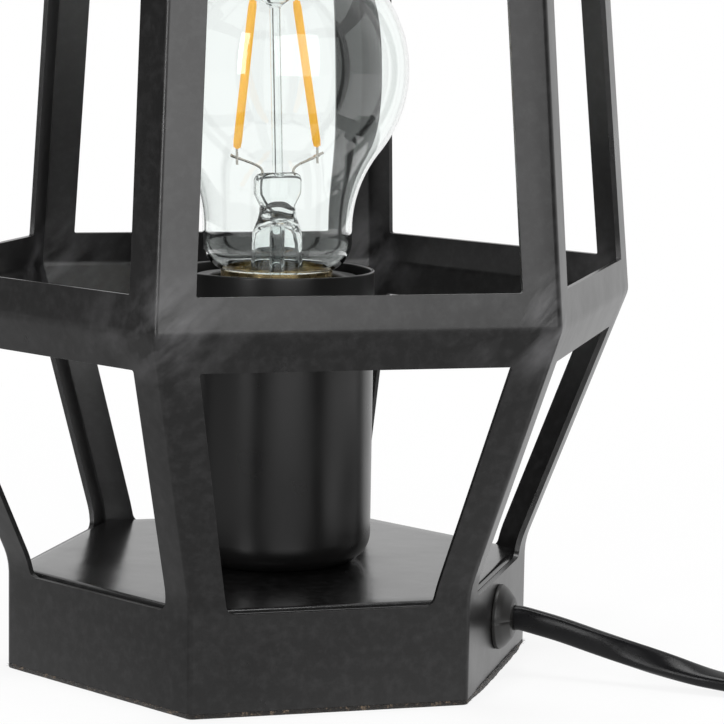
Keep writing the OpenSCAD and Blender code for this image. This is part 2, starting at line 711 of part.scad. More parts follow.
out_of_bushing = [
    lead_exit, from_exit(bushing_proud + 1.5, lead_h), from_exit(bushing_proud + 6, 12.4),
    [60.5, -35.5, 11.2], [66.5, -40, 9.4], [73, -44.5, 7.5], [80.5, -49.5, 5.4], [89, -55.5, 3.3], [99, -62, 2],
    [110, -69, flat_z], [122, -76, flat_z], [135, -82.5, flat_z], [148.5, -86.5, flat_z],
    [162, -88.5, flat_z], [176, -89, flat_z], [190, -89, flat_z], [208, -89, flat_z],
    [219.6, -87.5, flat_z], [230.5, -83, flat_z], [239.8, -75.8, flat_z], [247, -66.5, 2],
    [251.5, -55.6, 4]];
switch_back = [switch_x, switch_y - switch_len / 2, switch_joint_h];
switch_front = [switch_x, switch_y + switch_len / 2, switch_joint_h];
route_to_switch = concat(out_of_bushing, [switch_back - [0, 6, 0.2], switch_back]);

route_to_coil = [
    switch_front, switch_front + [0, 6, -0.2], [249.2, 42, 4], [239, 52.2, 2.1],
    [225, 56, flat_z], [211, 52.2, 2.1], [200.8, 42, 2.4], [193.5, 28.5, 2.6],
    [186.5, 15, 3], [180, 2.5, 3.3], coil_first - concat(6 * dir(coil_start_angle + 90), [0.1]),
    coil_first];

plug_back = [plug_x, plug_y, plug_t / 2 + lead_low];
route_to_plug = [
    coil_last, coil_last + concat(8 * dir(coil_end_angle + 90), [0]), [212, 8, 9.8], [204, 17.5, 9.6],
    [195, 25, 8.8], [184, 29, 7], [172, 29, 4.6], [161, 25, 2.8], [152, 17.5, 2.4],
    [146.5, 8, 4], [144.3, 1, 6.2], plug_back + [0, 6, 0], plug_back];

module lead_to_switch() {
    color(lead_black) swept(route_to_switch,
        rolling(len(route_to_switch), 90, 0, 4, 8), lead_section);
}

module lead_to_coil() {
    color(lead_black) swept(route_to_coil,
        rolling(len(route_to_coil), 0, 90, 4, 10), lead_section);
}

module lead_coil() {
    color(lead_black) swept(coil_route, steady(len(coil_route), 90),
        coil_outline(lead_w / 2, lead_t / 2));
}

module lead_to_plug() {
    color(lead_black) swept(route_to_plug,
        rolling(len(route_to_plug), 90, 0, 4, 10), lead_section);
}

tie_t = 0.5;
tie_w = 4;
tie_gap = 0.25;

// A flat band round the bundle where it passes behind the coil's middle.
module coil_tie() {
    out_r = coil_r - coil_step * min((450 - coil_start_angle) / 360, 1) + lead_t / 2 + tie_gap;
    in_r = coil_r - coil_step * (coil_turns / 2 - 0.45) - lead_t / 2 - tie_gap;
    low = coil_low - tie_gap;
    high = layer_2 + lead_w / 2 + tie_gap;
    inside = rounded([[in_r, low], [out_r, low], [out_r, high], [in_r, high]], 1);
    outside = rounded([[in_r - tie_t, low - tie_t], [out_r + tie_t, low - tie_t],
                       [out_r + tie_t, high + tie_t], [in_r - tie_t, high + tie_t]], 1.5);
    color([0.08, 0.08, 0.08]) translate([coil_x - tie_w / 2, coil_y, 0]) rotate([90, 0, 90]) difference() {
        linear_extrude(tie_w) polygon(outside);
        translate([0, 0, -cut]) linear_extrude(tie_w + 2 * cut) polygon(inside);
    }
}

// ---- in-line switch ----

// The switch seen from above, drawn in by t: wide in the middle, narrow where the lead enters.
function switch_outline(t) =
    let (w = switch_w / 2 - t, e = 7 - t, l = switch_len / 2 - t, m = l - 12)
    rounded([[-e, -l], [e, -l], [w, -m], [w, m], [e, l], [-e, l], [-w, m], [-w, -m]], 2.5);

pivot_h = switch_h - 3;
rocker_len = 20;
rocker_w = 9.4;
pivot_r = 1.4;

module at_switch() {
    translate([switch_x, switch_y, 0]) children();
}

module lead_passage() {
    straight = lead_w - lead_t;
    r = lead_t / 2 + slot_gap;
    translate([0, 0, switch_joint_h]) rotate([90, 0, 0]) {
        translate([-straight / 2, -r, -switch_len]) cube([straight, 2 * r, 2 * switch_len]);
        for (side = [-1, 1]) translate([side * straight / 2, 0, -switch_len])
            cylinder(r = r, h = 2 * switch_len);
    }
}

screw_y = switch_len / 2 - 14;
screw_x = switch_w / 2 - 5;
screw_r = 1.3;

module screw_posts(z0, z1, r) {
    for (side = [-1, 1]) translate([side * screw_x, side * screw_y, z0]) cylinder(r = r, h = z1 - z0);
}

module switch_base() {
    color([0.05, 0.05, 0.055]) at_switch() difference() {
        union() {
            difference() {
                union() {
                    hull() {
                        translate([0, 0, 1.2]) linear_extrude(switch_joint_h - 1.2)
                            polygon(switch_outline(0));
                        linear_extrude(1.2) polygon(switch_outline(1.2));
                    }
                }
                translate([0, 0, switch_wall]) linear_extrude(switch_joint_h)
                    polygon(switch_outline(switch_wall));
            }
            screw_posts(switch_wall - 0.1, switch_joint_h, 2.8);
        }
        lead_passage();
        screw_posts(-cut, switch_joint_h + cut, screw_r + thread_gap);
        screw_posts(-cut, 1.6, 2.4);
    }
}

module switch_cover() {
    wall = switch_wall;
    window_l = rocker_len + 2 * rocker_gap;
    window_w = rocker_w + 2 * rocker_gap;
    color([0.05, 0.05, 0.055]) at_switch() difference() {
        union() {
            difference() {
                hull() {
                    translate([0, 0, switch_joint_h]) linear_extrude(switch_h - switch_joint_h - 3)
                        polygon(switch_outline(0));
                    translate([0, 0, switch_h - 1.2]) linear_extrude(1.2) polygon(switch_outline(3));
                }
                translate([0, 0, switch_joint_h - cut])
                    linear_extrude(switch_h - switch_joint_h - 3 - wall / 2 + cut)
                        polygon(switch_outline(wall));
            }
            screw_posts(switch_joint_h, switch_h - 3, 2.6);
            // two cheeks that carry the rocker's pivot
            for (side = [-1, 1]) translate([side * (window_w / 2 + 1) - 1, -3, pivot_h - 3])
                cube([2, 6, 5]);
        }
        translate([-window_w / 2, -window_l / 2, switch_joint_h - cut])
            cube([window_w, window_l, switch_h]);
        translate([-window_w / 2 - 1.4, 0, pivot_h]) rotate([0, 90, 0])
            cylinder(r = pivot_r + 0.08, h = window_w + 2.8);
        lead_passage();
        screw_posts(switch_joint_h - cut, switch_joint_h + 4, screw_r + thread_gap);
    }
}

module switch_rocker() {
    half = rocker_len / 2;
    pivot_len = rocker_w + 2 * rocker_gap + 2;
    color([0.05, 0.05, 0.055]) at_switch() translate([0, 0, pivot_h]) rotate([-rocker_tip / 2, 0, 0]) {
        rotate([90, 0, 90]) translate([0, 0, -rocker_w / 2]) linear_extrude(rocker_w)
            polygon(concat(
                [[-half + 0.6, 0.2], [-half + 0.8, 3.2], [-half + 2, 4.2]],
                [for (i = [-3:3]) [i * 2, 3.1 + 0.03 * i * i]],
                [[half - 2, 4.2], [half - 0.8, 3.2], [half - 0.6, 0.2],
                 [3, -1.4], [1.4, -3.6], [-1.4, -3.6], [-3, -1.4]]));
        rotate([0, 90, 0]) translate([0, 0, -pivot_len / 2]) cylinder(r = pivot_r, h = pivot_len);
    }
}

module switch_contacts() {
    color([0.82, 0.68, 0.32]) at_switch() for (side = [-1, 1])
        translate([0, side * 12, switch_wall]) {
            translate([-4, -5, 0]) cube([8, 10, 0.5]);
            translate([-1.5, side * 4 - 0.25, 0]) cube([3, 0.5, switch_joint_h - switch_wall - lead_t / 2 - 0.4]);
        }
}

module switch_screws() {
    color([0.7, 0.7, 0.72]) at_switch() {
        screw_posts(0.4, switch_joint_h + 3.6, screw_r);
        screw_posts(0.4, 1.5, 2.3);
    }
}

// ---- plug ----

body_start = plug_y - relief_len;
body_end = body_start - plug_len;
plug_mid_h = plug_t / 2 + lead_low;

// A flat bar with round edges that lies across the plug, w wide and t thick.
module lozenge(w, t, y, len) {
    translate([plug_x, y, plug_mid_h]) rotate([90, 0, 0]) {
        translate([-(w - t) / 2, -t / 2, 0]) cube([w - t, t, len]);
        for (side = [-1, 1]) translate([side * (w - t) / 2, 0, 0])
            cylinder(r = t / 2, h = len, $fn = 28);
    }
}

module plug_body() {
    color([0.05, 0.05, 0.055]) {
        difference() {
            hull() {
                lozenge(plug_w, plug_t, body_end + 14, 14);
                lozenge(plug_w * 0.62, plug_t * 0.86, body_start, 2);
            }
            for (side = [-1, 1]) translate([plug_x + side * pin_pitch / 2, body_end - cut, plug_mid_h])
                rotate([-90, 0, 0]) cylinder(r = sleeve_r + thread_gap, h = 8 + cut);
        }
        // tapered sleeve round the lead, with its ribs
        hull() {
            lozenge(11, 9.6, body_start, 0.5);
            lozenge(lead_w + 2, lead_t + 2.4, plug_y, 0.5);
        }
        for (k = [1:4]) let (s = k / 5, w = lead_w + 3 + s * 4.4, t = lead_t + 3.2 + s * 4)
            lozenge(w, t, plug_y - s * relief_len, 1.6);
    }
}

sleeve_r = pin_r - 0.25;
pin_core_r = pin_r - 0.6;
bare_pin = 9;

module at_pins() {
    for (side = [-1, 1]) translate([plug_x + side * pin_pitch / 2, body_end, plug_mid_h])
        rotate([90, 0, 0]) children();
}

module plug_sleeves() {
    color([0.05, 0.05, 0.055]) at_pins() difference() {
        translate([0, 0, -7]) cylinder(r = sleeve_r, h = 7 + pin_len - bare_pin);
        translate([0, 0, -7 - cut]) cylinder(r = pin_core_r + thread_gap, h = pin_len + 2 * cut);
    }
}

module plug_pins() {
    color([0.78, 0.78, 0.8]) at_pins() {
        translate([0, 0, -7.5]) cylinder(r = pin_core_r, h = 7.5 + pin_len - bare_pin);
        rotate_extrude() polygon([
            [0, pin_len - bare_pin], [pin_r, pin_len - bare_pin], [pin_r, pin_len - 1],
            [pin_r - 0.3, pin_len - 0.3], [pin_r - 1, pin_len], [0, pin_len]]);
    }
}

side_panel(1);  // side_panel_1
side_panel(2);  // side_panel_2
side_panel(3);  // side_panel_3
side_panel(4);  // side_panel_4
side_panel(5);  // side_panel_5
side_panel(6);  // side_panel_6
base_plate();
bottom_board();
felt_pad();
lead_bushing();
holder_cup();
holder_foot();
holder_sleeve();
holder_insert();
screw_shell();
centre_contact();
terminal_blocks();
terminal_screws();
threaded_tube();
tube_nut();
tube_washer();
inner_lead();
core_brown();
core_blue();
bulb_glass();
bulb_stem();
bulb_filaments();
bulb_wires();
bulb_cap();
bulb_insulator();
bulb_contact();
lead_to_switch();
lead_to_coil();
lead_coil();
lead_to_plug();
coil_tie();
switch_base();
switch_cover();
switch_rocker();
switch_contacts();
switch_screws();
plug_body();
plug_sleeves();
plug_pins();
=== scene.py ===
"""A lantern table lamp: a six-sided sheet cage on a low base, with a cup, a clear bulb and a flat lead."""
import math

import bmesh
import bpy
import numpy as np
from mathutils import Matrix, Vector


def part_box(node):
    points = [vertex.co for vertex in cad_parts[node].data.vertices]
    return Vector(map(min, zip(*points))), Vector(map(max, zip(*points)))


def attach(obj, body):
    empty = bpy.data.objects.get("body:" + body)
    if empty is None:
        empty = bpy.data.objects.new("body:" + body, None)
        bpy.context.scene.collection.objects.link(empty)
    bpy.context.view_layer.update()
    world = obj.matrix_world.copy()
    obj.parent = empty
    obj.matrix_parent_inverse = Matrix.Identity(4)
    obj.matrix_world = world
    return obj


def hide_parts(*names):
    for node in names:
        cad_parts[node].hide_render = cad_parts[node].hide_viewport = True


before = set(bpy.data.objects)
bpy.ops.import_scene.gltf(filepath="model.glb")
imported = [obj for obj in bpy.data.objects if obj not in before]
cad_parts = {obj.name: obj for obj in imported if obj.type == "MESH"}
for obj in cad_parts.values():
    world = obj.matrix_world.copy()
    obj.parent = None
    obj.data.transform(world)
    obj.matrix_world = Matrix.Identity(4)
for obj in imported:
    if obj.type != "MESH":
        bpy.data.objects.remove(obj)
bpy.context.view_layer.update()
mm = 0.001


# ---------------------------------------------------------------------------
# Camera. It stands 65 cm from the lamp, a little left of the front and as
# high as the bulb, and its long lens cuts off the cage's top.
# ---------------------------------------------------------------------------
def unit(v):
    """The vector, or each row of vectors, scaled to a length of one."""
    v = np.asarray(v, float)
    return v / np.linalg.norm(v, axis=-1, keepdims=True)


def in_scene(name, data):
    """A new object in the scene."""
    thing = bpy.data.objects.new(name, data)
    bpy.context.scene.collection.objects.link(thing)
    return thing


camera_place = np.array([-153.2, -628.8, 157.5]) * mm
camera_aim = np.array([19.48, -5.39, 70.37]) * mm
camera_roll = math.radians(0.96)
lens_mm = 138.86

look_back = unit(camera_place - camera_aim)
level = unit(np.cross([0, 0, 1], look_back))
upright = np.cross(look_back, level)
camera = in_scene("camera", bpy.data.cameras.new("camera"))
camera.data.lens = lens_mm
camera.data.sensor_width = 36
camera.data.clip_start = 0.01
turn = np.eye(4)
turn[:3, 0] = math.cos(camera_roll) * level + math.sin(camera_roll) * upright
turn[:3, 1] = math.cos(camera_roll) * upright - math.sin(camera_roll) * level
turn[:3, 2] = look_back
turn[:3, 3] = camera_place
camera.matrix_world = Matrix(turn.tolist())
bpy.context.scene.camera = camera


# ---------------------------------------------------------------------------
# The lead: a flat two-core cable with a glossy black PVC sheath. It leaves the
# bushing on edge, drops to the table and lies flat; past the picture's edge it
# runs through an in-line switch, and the rest is wound up with the plug beside.
# ---------------------------------------------------------------------------
class Value:
    """An output socket of a finish. Arithmetic between values and numbers adds Math nodes."""

    def __init__(self, finish, socket):
        self.finish = finish
        self.socket = socket

    def maths(self, operation, *terms):
        return self.finish.node("ShaderNodeMath", dict(enumerate(terms)), operation=operation)

    def __add__(self, other):
        return self.maths("ADD", self, other)

    def __sub__(self, other):
        return self.maths("SUBTRACT", self, other)

    def __rsub__(self, other):
        return self.maths("SUBTRACT", other, self)

    def __mul__(self, other):
        return self.maths("MULTIPLY", self, other)

    __radd__ = __add__
    __rmul__ = __mul__


class Finish:
    """The nodes of a material, or of the world."""

    def __init__(self, name, owner=None):
        self.owner = owner or bpy.data.materials.new(name)
        self.owner.use_nodes = True
        self.tree = self.owner.node_tree
        self.tree.nodes.clear()

    def node(self, kind, sockets=None, output=0, stops=None, **settings):
        """Adds a node: its settings first, then the stops of a ramp, then its sockets' values or links."""
        new = self.tree.nodes.new(kind)
        for name, setting in settings.items():
            setattr(new, name, setting)
        if stops:
            ramp = new.color_ramp.elements
            while len(ramp) < len(stops):
                ramp.new(0.5)
            for element, (position, shade) in zip(ramp, stops):
                element.position = position
                element.color = (*shade, 1) if len(shade) == 3 else shade
        for name, value in (sockets or {}).items():
            if isinstance(value, Value):
                self.tree.links.new(value.socket, new.inputs[name])
            else:
                new.inputs[name].default_value = value
        return Value(self, new.outputs[output]) if new.outputs else None

    def place(self):
        """The point on the piece, in metres."""
        return self.node("ShaderNodeTexCoord", output="Object")

    def noise(self, scale, detail=2.0, roughness=0.5, place=None, stretch=None):
        """Noise from about 0 to 1 with so many swellings to the metre."""
        place = place or self.place()
        if stretch:
            place = self.node("ShaderNodeMapping", {"Vector": place, "Scale": stretch})
        return self.node("ShaderNodeTexNoise", {
            "Vector": place, "Scale": scale, "Detail": detail, "Roughness": roughness})

    def spread(self, value, low, high, to_low=0.0, to_high=1.0):
        """The value from low to high carried over to another range, and held at its ends."""
        return self.node("ShaderNodeMapRange", {
            "Value": value, "From Min": low, "From Max": high, "To Min": to_low, "To Max": to_high})

    def mixed(self, share, first, second):
        """A colour between two, which are given as red, green and blue."""
        sockets = {0: share, 6: (*first, 1), 7: (*second, 1)}
        return self.node("ShaderNodeMix", sockets, output=2, data_type="RGBA")

    def relief(self, height, depth, strength=1.0):
        """A normal for a surface raised by height times depth, in metres."""
        return self.node("ShaderNodeBump", {"Height": height, "Distance": depth, "Strength": strength})

    def surface(self, **sockets):
        """Ends the material in one Principled shader; names are its sockets' with _ for a space."""
        named = {name.replace("_", " "): value for name, value in sockets.items()}
        return self.ends_in(self.node("ShaderNodeBsdfPrincipled", named))

    def ends_in(self, shader):
        self.node("ShaderNodeOutputMaterial", {"Surface": shader})
        return self.owner


def pvc_finish(name, shade, gloss):
    """Soft PVC: slow waves, a fine pebble, and a gloss that wanders a little."""
    pvc = Finish(name)
    wander = pvc.noise(160, 3)
    pebble = pvc.noise(2600, 2)
    return pvc.surface(
        Base_Color=pvc.mixed(wander, shade, np.multiply(1.7, shade)), Specular_IOR_Level=0.22,
        Roughness=pvc.spread(wander, 0.3, 0.7, gloss - 0.05, gloss + 0.08),
        Normal=pvc.relief(pvc.noise(160, 2) * 0.35 + pebble * 0.04, 0.25 * mm, 0.6))


crease = math.radians(38)


def made(name, points, faces, finish, body, slot, smooth=True):
    """A mesh piece from points in metres and arrays of faces, one array for each number of corners."""
    mesh = bpy.data.meshes.new(name)
    corners = np.concatenate([f.ravel() for f in faces]).astype(np.int32)
    counts = np.concatenate([np.full(len(f), f.shape[1]) for f in faces])
    mesh.vertices.add(len(points))
    mesh.vertices.foreach_set("co", np.asarray(points, np.float32).ravel())
    mesh.loops.add(len(corners))
    mesh.loops.foreach_set("vertex_index", corners)
    mesh.polygons.add(len(counts))
    mesh.polygons.foreach_set("loop_start", (np.cumsum(counts) - counts).astype(np.int32))
    mesh.update(calc_edges=True)
    mesh.validate()
    if smooth:
        mesh.shade_smooth()
        mesh.set_sharp_from_angle(angle=crease)
    mesh.materials.append(finish)
    piece = in_scene(name, mesh)
    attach(piece, body)
    return piece


def grid(rows, columns, around=False, closed=False):
    """Quads of a grid of points: around joins the last column to the first, closed the last row."""
    number = np.arange(rows * columns).reshape(rows, columns)
    if around:
        number = np.hstack([number, number[:, :1]])
    if closed:
        number = np.vstack([number, number[:1]])
    return np.stack([number[:-1, :-1], number[:-1, 1:], number[1:, 1:], number[1:, :-1]], -1).reshape(-1, 4)


def welded(points, faces, gap=1e-7):
    """Merges points that lie within the gap, and splits off the quads that lost a corner as triangles."""
    _, first, same = np.unique(np.round(points / gap).astype(np.int64), axis=0,
                               return_index=True, return_inverse=True)
    merged = []
    for f in faces:
        f = same.reshape(-1)[f]
        lost = f == np.roll(f, -1, axis=1)
        merged.append(f[lost.sum(1) == 0])
        if f.shape[1] == 4:
            short = lost.sum(1) == 1
            merged.append(f[short][~lost[short]].reshape(-1, 3))
    return points[first], [f for f in merged if len(f)]


def smooth_route(points, step, pieces=24):
    """Points every step along the curve that passes evenly through the given ones (Catmull-Rom), and where
    each lies among the given ones, of which the first is 0 and the second 1."""
    p = np.asarray(points, float)
    p = np.vstack([2 * p[0] - p[1], p, 2 * p[-1] - p[-2]])
    a, b, c, d = p[:-3], p[1:-2], p[2:-1], p[3:]
    t = np.linspace(0, 1, pieces, endpoint=False)[:, None, None]
    fine = 0.5 * (2 * b + (c - a) * t + (2 * a - 5 * b + 4 * c - d) * t ** 2
                  + (3 * b - a - 3 * c + d) * t ** 3)
    fine = np.vstack([fine.transpose(1, 0, 2).reshape(-1, 3), p[-2]])
    run = np.concatenate([[0], np.cumsum(np.linalg.norm(np.diff(fine, axis=0), axis=1))])
    knots = run[::pieces]
    even = np.linspace(0, run[-1], int(round(run[-1] / step)) + 1)
    path = np.stack([np.interp(even, run, fine[:, k]) for k in range(3)], 1)
    return path, np.interp(even, knots, np.arange(len(knots)))


def oval(half_width, half_height, steps, power=1):
    """A closed line of half width x cos to the power and half height x sin to it; 1 makes it an ellipse."""
    a = np.linspace(0, 2 * math.pi, steps, endpoint=False)
    c, s = np.cos(a), np.sin(a)
    return np.stack([half_width * np.sign(c) * np.abs(c) ** power,
                     half_height * np.sign(s) * np.abs(s) ** power], -1)


def capped(rings, path):
    """A tube through rings of points, closed by fans round the first and last points of its path."""
    n, m = rings.shape[:2]
    k = np.arange(m)
    first = np.stack([np.full(m, n * m), (k + 1) % m, k], 1)
    last = np.stack([np.full(m, n * m + 1), (n - 1) * m + k, (n - 1) * m + (k + 1) % m], 1)
    return np.vstack([rings.reshape(-1, 3), path[:1], path[-1:]]), [grid(n, m, around=True), first, last]


def swept(path, rolls, outline):
    """A tube whose outline's width lies level where the roll is 0, and upright where it is 90 degrees."""
    along = unit(np.gradient(path, axis=0))
    side = unit(np.cross([0, 0, 1], along))
    up = np.cross(along, side)
    c, s = np.cos(np.radians(rolls))[:, None], np.sin(np.radians(rolls))[:, None]
    wide, thick = c * side + s * up, c * up - s * side
    rings = path[:, None] + outline[None, :, :1] * wide[:, None] + outline[None, :, 1:] * thick[:, None]
    return capped(rings, path)


def easing(s):
    """From 0 to 1 with a soft start and stop."""
    s = np.clip(s, 0, 1)
    return s * s * (3 - 2 * s)


lead_w = 5.7 * mm
lead_t = 3.4 * mm
lead_power = 0.72
lead_outline = oval(lead_w / 2, lead_t / 2, 28, lead_power)
lead_finish = pvc_finish("lead_pvc", (0.003, 0.003, 0.0034), 0.27)

bushing_side = math.radians(-30)
side_dir = np.array([math.cos(bushing_side), math.sin(bushing_side)])
skirt_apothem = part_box("felt_pad")[1].y
bushing_proud = 4 * mm
lead_h = 13.3 * mm
flat_h = (lead_t / 2 + 0.1 * mm) / mm
route_step = 1.5 * mm


def from_exit(distance, height):
    """A point in front of the skirt's side that holds the bushing."""
    x, y = (skirt_apothem + distance) * side_dir
    return [x, y, height]


def millimetres(*points):
    """Points given in millimetres; one without a height lies flat on the table."""
    return [[x * mm, y * mm, (h[0] if h else flat_h) * mm] for x, y, *h in points]


def turning(knot, first, over):
    """A roll that goes from 0 to 90 degrees over so many given points, from the named one on."""
    return 90 * easing((knot - first) / over)


switch_low, switch_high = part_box("switch_cover")
switch_x = (switch_low.x + switch_high.x) / 2
lead_in_switch_h = switch_low.z
outside_switch = np.array([0, 6, -0.2]) * mm
switch_in = np.array([switch_x, switch_low.y, lead_in_switch_h])
switch_out = np.array([switch_x, switch_high.y, lead_in_switch_h])
first_route = [from_exit(bushing_proud, lead_h), from_exit(bushing_proud + 1.5 * mm, lead_h),
               from_exit(bushing_proud + 6 * mm, 12.4 * mm)] + millimetres(
    (60.5, -35.5, 11.2), (66.5, -40, 9.4), (73, -44.5, 7.5), (80.5, -49.5, 5.4), (89, -55.5, 3.3),
    (99, -62, 2), (110, -69), (122, -76), (135, -82.5), (148.5, -86.5), (162, -88.5), (176, -89),
    (190, -89), (208, -89), (219.6, -87.5), (230.5, -83), (239.8, -75.8), (247, -66.5, 2),
    (251.5, -55.6, 4)) + [switch_in + outside_switch * [1, -1, 1], switch_in]
first_path, first_knot = smooth_route(first_route, route_step)
first_roll = 90 - turning(first_knot, 4, 4)
first_lead = made("lead_to_switch_sheath", *swept(first_path, first_roll, lead_outline),
                  lead_finish, "lamp", "lead_pvc")
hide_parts("lead_to_switch")

coil_centre = np.array([202, -36]) * mm
coil_r = 36 * mm
coil_turns = 6.689
coil_step = 4.2 * mm
tie_t = 0.8 * mm
coil_layer = tie_t + lead_w / 2
coil_lift = 6.2 * mm
coil_start = math.radians(152)
coil_tail = 6 * mm
coil_steps_per_turn = 72


def coil_at(turns):
    """In along the lower layer, up in the half turn round the middle, and out along the upper layer."""
    r = coil_r - coil_step * (coil_turns / 2 - np.abs(turns - coil_turns / 2))
    a = coil_start + 2 * math.pi * turns
    rise = easing(2 * (turns - coil_turns / 2) + 0.5)
    return np.stack([coil_centre[0] + r * np.cos(a), coil_centre[1] + r * np.sin(a),
                     coil_layer + coil_lift * rise], 1)


def heading(turns):
    """The direction in which the coil runs after so many turns."""
    a = coil_start + 2 * math.pi * turns + math.pi / 2
    return np.array([math.cos(a), math.sin(a), 0])


coil_path = coil_at(np.linspace(0, coil_turns, int(coil_turns * coil_steps_per_turn)))
coil_first = coil_path[0] - coil_tail * heading(0)
coil_last = coil_path[-1] + coil_tail * heading(coil_turns)
plug_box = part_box("plug_body")
plug_x = (plug_box[0].x + plug_box[1].x) / 2
plug_h = (plug_box[0].z + plug_box[1].z) / 2
plug_back = np.array([plug_x, plug_box[1].y, plug_h])
in_route = [switch_out, switch_out + outside_switch] + millimetres(
    (249.2, 42, 4), (239, 52.2, 2.1), (225, 56), (211, 52.2, 2.1), (200.8, 42, 2.4), (193.5, 28.5, 2.6),
    (186.5, 15, 3), (180, 2.5, 3.3)) + [coil_first - 6 * mm * heading(0) + [0, 0, 0.1 * mm], coil_first]
out_route = [coil_last, coil_last + 8 * mm * heading(coil_turns)] + millimetres(
    (212, 8, 9.8), (204, 17.5, 9.6), (195, 25, 8.8), (184, 29, 7), (172, 29, 4.6), (161, 25, 2.8),
    (152, 17.5, 2.4), (146.5, 8, 4), (144.3, 1, 6.2)) + [plug_back + [0, 6 * mm, 0], plug_back]
in_path, in_knot = smooth_route(in_route, route_step)
out_path, out_knot = smooth_route(out_route, route_step)
second_path = np.vstack([in_path, coil_path, out_path])
second_roll = np.concatenate([turning(in_knot, 4, 6), np.full(len(coil_path), 90),
                              90 - turning(out_knot, 4, 6)])
second_lead = made("lead_to_plug_sheath", *swept(second_path, second_roll, lead_outline),
                   lead_finish, "lamp", "lead_pvc")
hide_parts("lead_to_coil", "lead_coil", "lead_to_plug")


# ---------------------------------------------------------------------------
# The switch in the lead: two glossy black shells screwed together, and a
# rocker between two cheeks of the upper one.
# ---------------------------------------------------------------------------
def bevelled(piece, width, segments, angle):
    """Rounds the edges that turn by more than an angle."""
    edge = piece.modifiers.new("edge", "BEVEL")
    edge.width = width
    edge.segments = segments
    edge.limit_method = "ANGLE"
    edge.angle_limit = angle
    edge.harden_normals = True


same_place, same_plane = 0.001 * mm, math.radians(0.8)


def softened(node, width, finish, body="lamp", segments=2, angle=math.radians(28)):
    """A copy of a solid, its doubles merged and its flat faces joined, with its edges rounded."""
    shape = bmesh.new()
    shape.from_mesh(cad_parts[node].data)
    bmesh.ops.remove_doubles(shape, verts=shape.verts, dist=same_place)
    bmesh.ops.dissolve_limit(shape, angle_limit=same_plane, verts=shape.verts, edges=shape.edges)
    mesh = bpy.data.meshes.new(node + "_shape")
    shape.to_mesh(mesh)
    shape.free()
    mesh.shade_smooth()
    mesh.set_sharp_from_angle(angle=angle)
    mesh.materials.append(finish)
    piece = in_scene(node + "_shape", mesh)
    bevelled(piece, width, segments, angle)
    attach(piece, body)
    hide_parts(node)
    return piece


def moulded_finish(name, shade, gloss, depth=0.02 * mm):
    """Moulded plastic: an even, fine spark-eroded texture with faint flow marks."""
    plastic = Finish(name)
    flow = plastic.noise(70, 3)
    return plastic.surface(
        Base_Color=plastic.mixed(flow, np.multiply(0.85, shade), np.multiply(1.2, shade)),
        Roughness=plastic.spread(flow, 0.3, 0.7, gloss - 0.04, gloss + 0.05),
        Normal=plastic.relief(plastic.noise(5200, 1), depth, 0.35))


def metal_finish(name, shade, gloss):
    """Bare or plated metal: fine upright scratches and a little dullness."""
    metal = Finish(name)
    dull = metal.noise(240, 3)
    scratches = metal.noise(3, 2, stretch=(900, 900, 60))
    return metal.surface(
        Base_Color=metal.mixed(dull, np.multiply(0.8, shade), shade),
        Metallic=1.0, Roughness=metal.spread(dull, 0.3, 0.7, gloss - 0.05, gloss + 0.12),
        Normal=metal.relief(scratches, 0.03 * mm, 0.3))


black_plastic = moulded_finish("black_plastic", (0.012, 0.012, 0.0125), 0.36)
brass = metal_finish("brass", (0.72, 0.5, 0.2), 0.28)
zinc_steel = metal_finish("zinc_steel", (0.62, 0.63, 0.65), 0.32)
shell_crease = math.radians(20)
switch_pieces = [softened("switch_base", 0.5 * mm, black_plastic, angle=shell_crease),
                 softened("switch_cover", 0.5 * mm, black_plastic, angle=shell_crease),
                 softened("switch_rocker", 0.25 * mm, black_plastic, body="switch_rocker"),
                 softened("switch_contacts", 0.08 * mm, brass),
                 softened("switch_screws", 0.15 * mm, zinc_steel)]


# ---------------------------------------------------------------------------
# The plug: a flat moulded two-pin plug with a ribbed sleeve round the lead,
# insulated pins with bare nickel ends, and a band that ties the coil.
# ---------------------------------------------------------------------------
nickel = metal_finish("nickel_pins", (0.68, 0.67, 0.64), 0.2)
plug_pieces = [softened("plug_body", 0.35 * mm, black_plastic, segments=3),
               softened("plug_sleeves", 0.08 * mm, black_plastic),
               softened("plug_pins", 0.25 * mm, nickel),
               softened("coil_tie", 0.15 * mm, black_plastic)]


# ---------------------------------------------------------------------------
# The cage: six sides of 1.2 mm steel sheet, each cut with two windows and
# folded twice, welded along the corners, ground and powder coated black.
# ---------------------------------------------------------------------------
sheet_t = 1.2 * mm
belt_h = 86 * mm
fold_h = 25.5 * mm
cage_low = 1.2 * mm
cage_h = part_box("side_panel_1")[1].z
belt_r, top_r = 87.5 * mm, 72.6 * mm
half_sector = math.radians(30)
fold_bend_r, belt_bend_r = 18 * mm, 5.2 * mm
bend_steps = 9
leg_w = 8.3 * mm
window_r, sill_corner_r = 0.5 * mm, 1.8 * mm
sill_h, head_h = 22.7 * mm, 78 * mm
upper_sill_h, upper_head_h = 94 * mm, 232 * mm
corner_r = 1.8 * mm


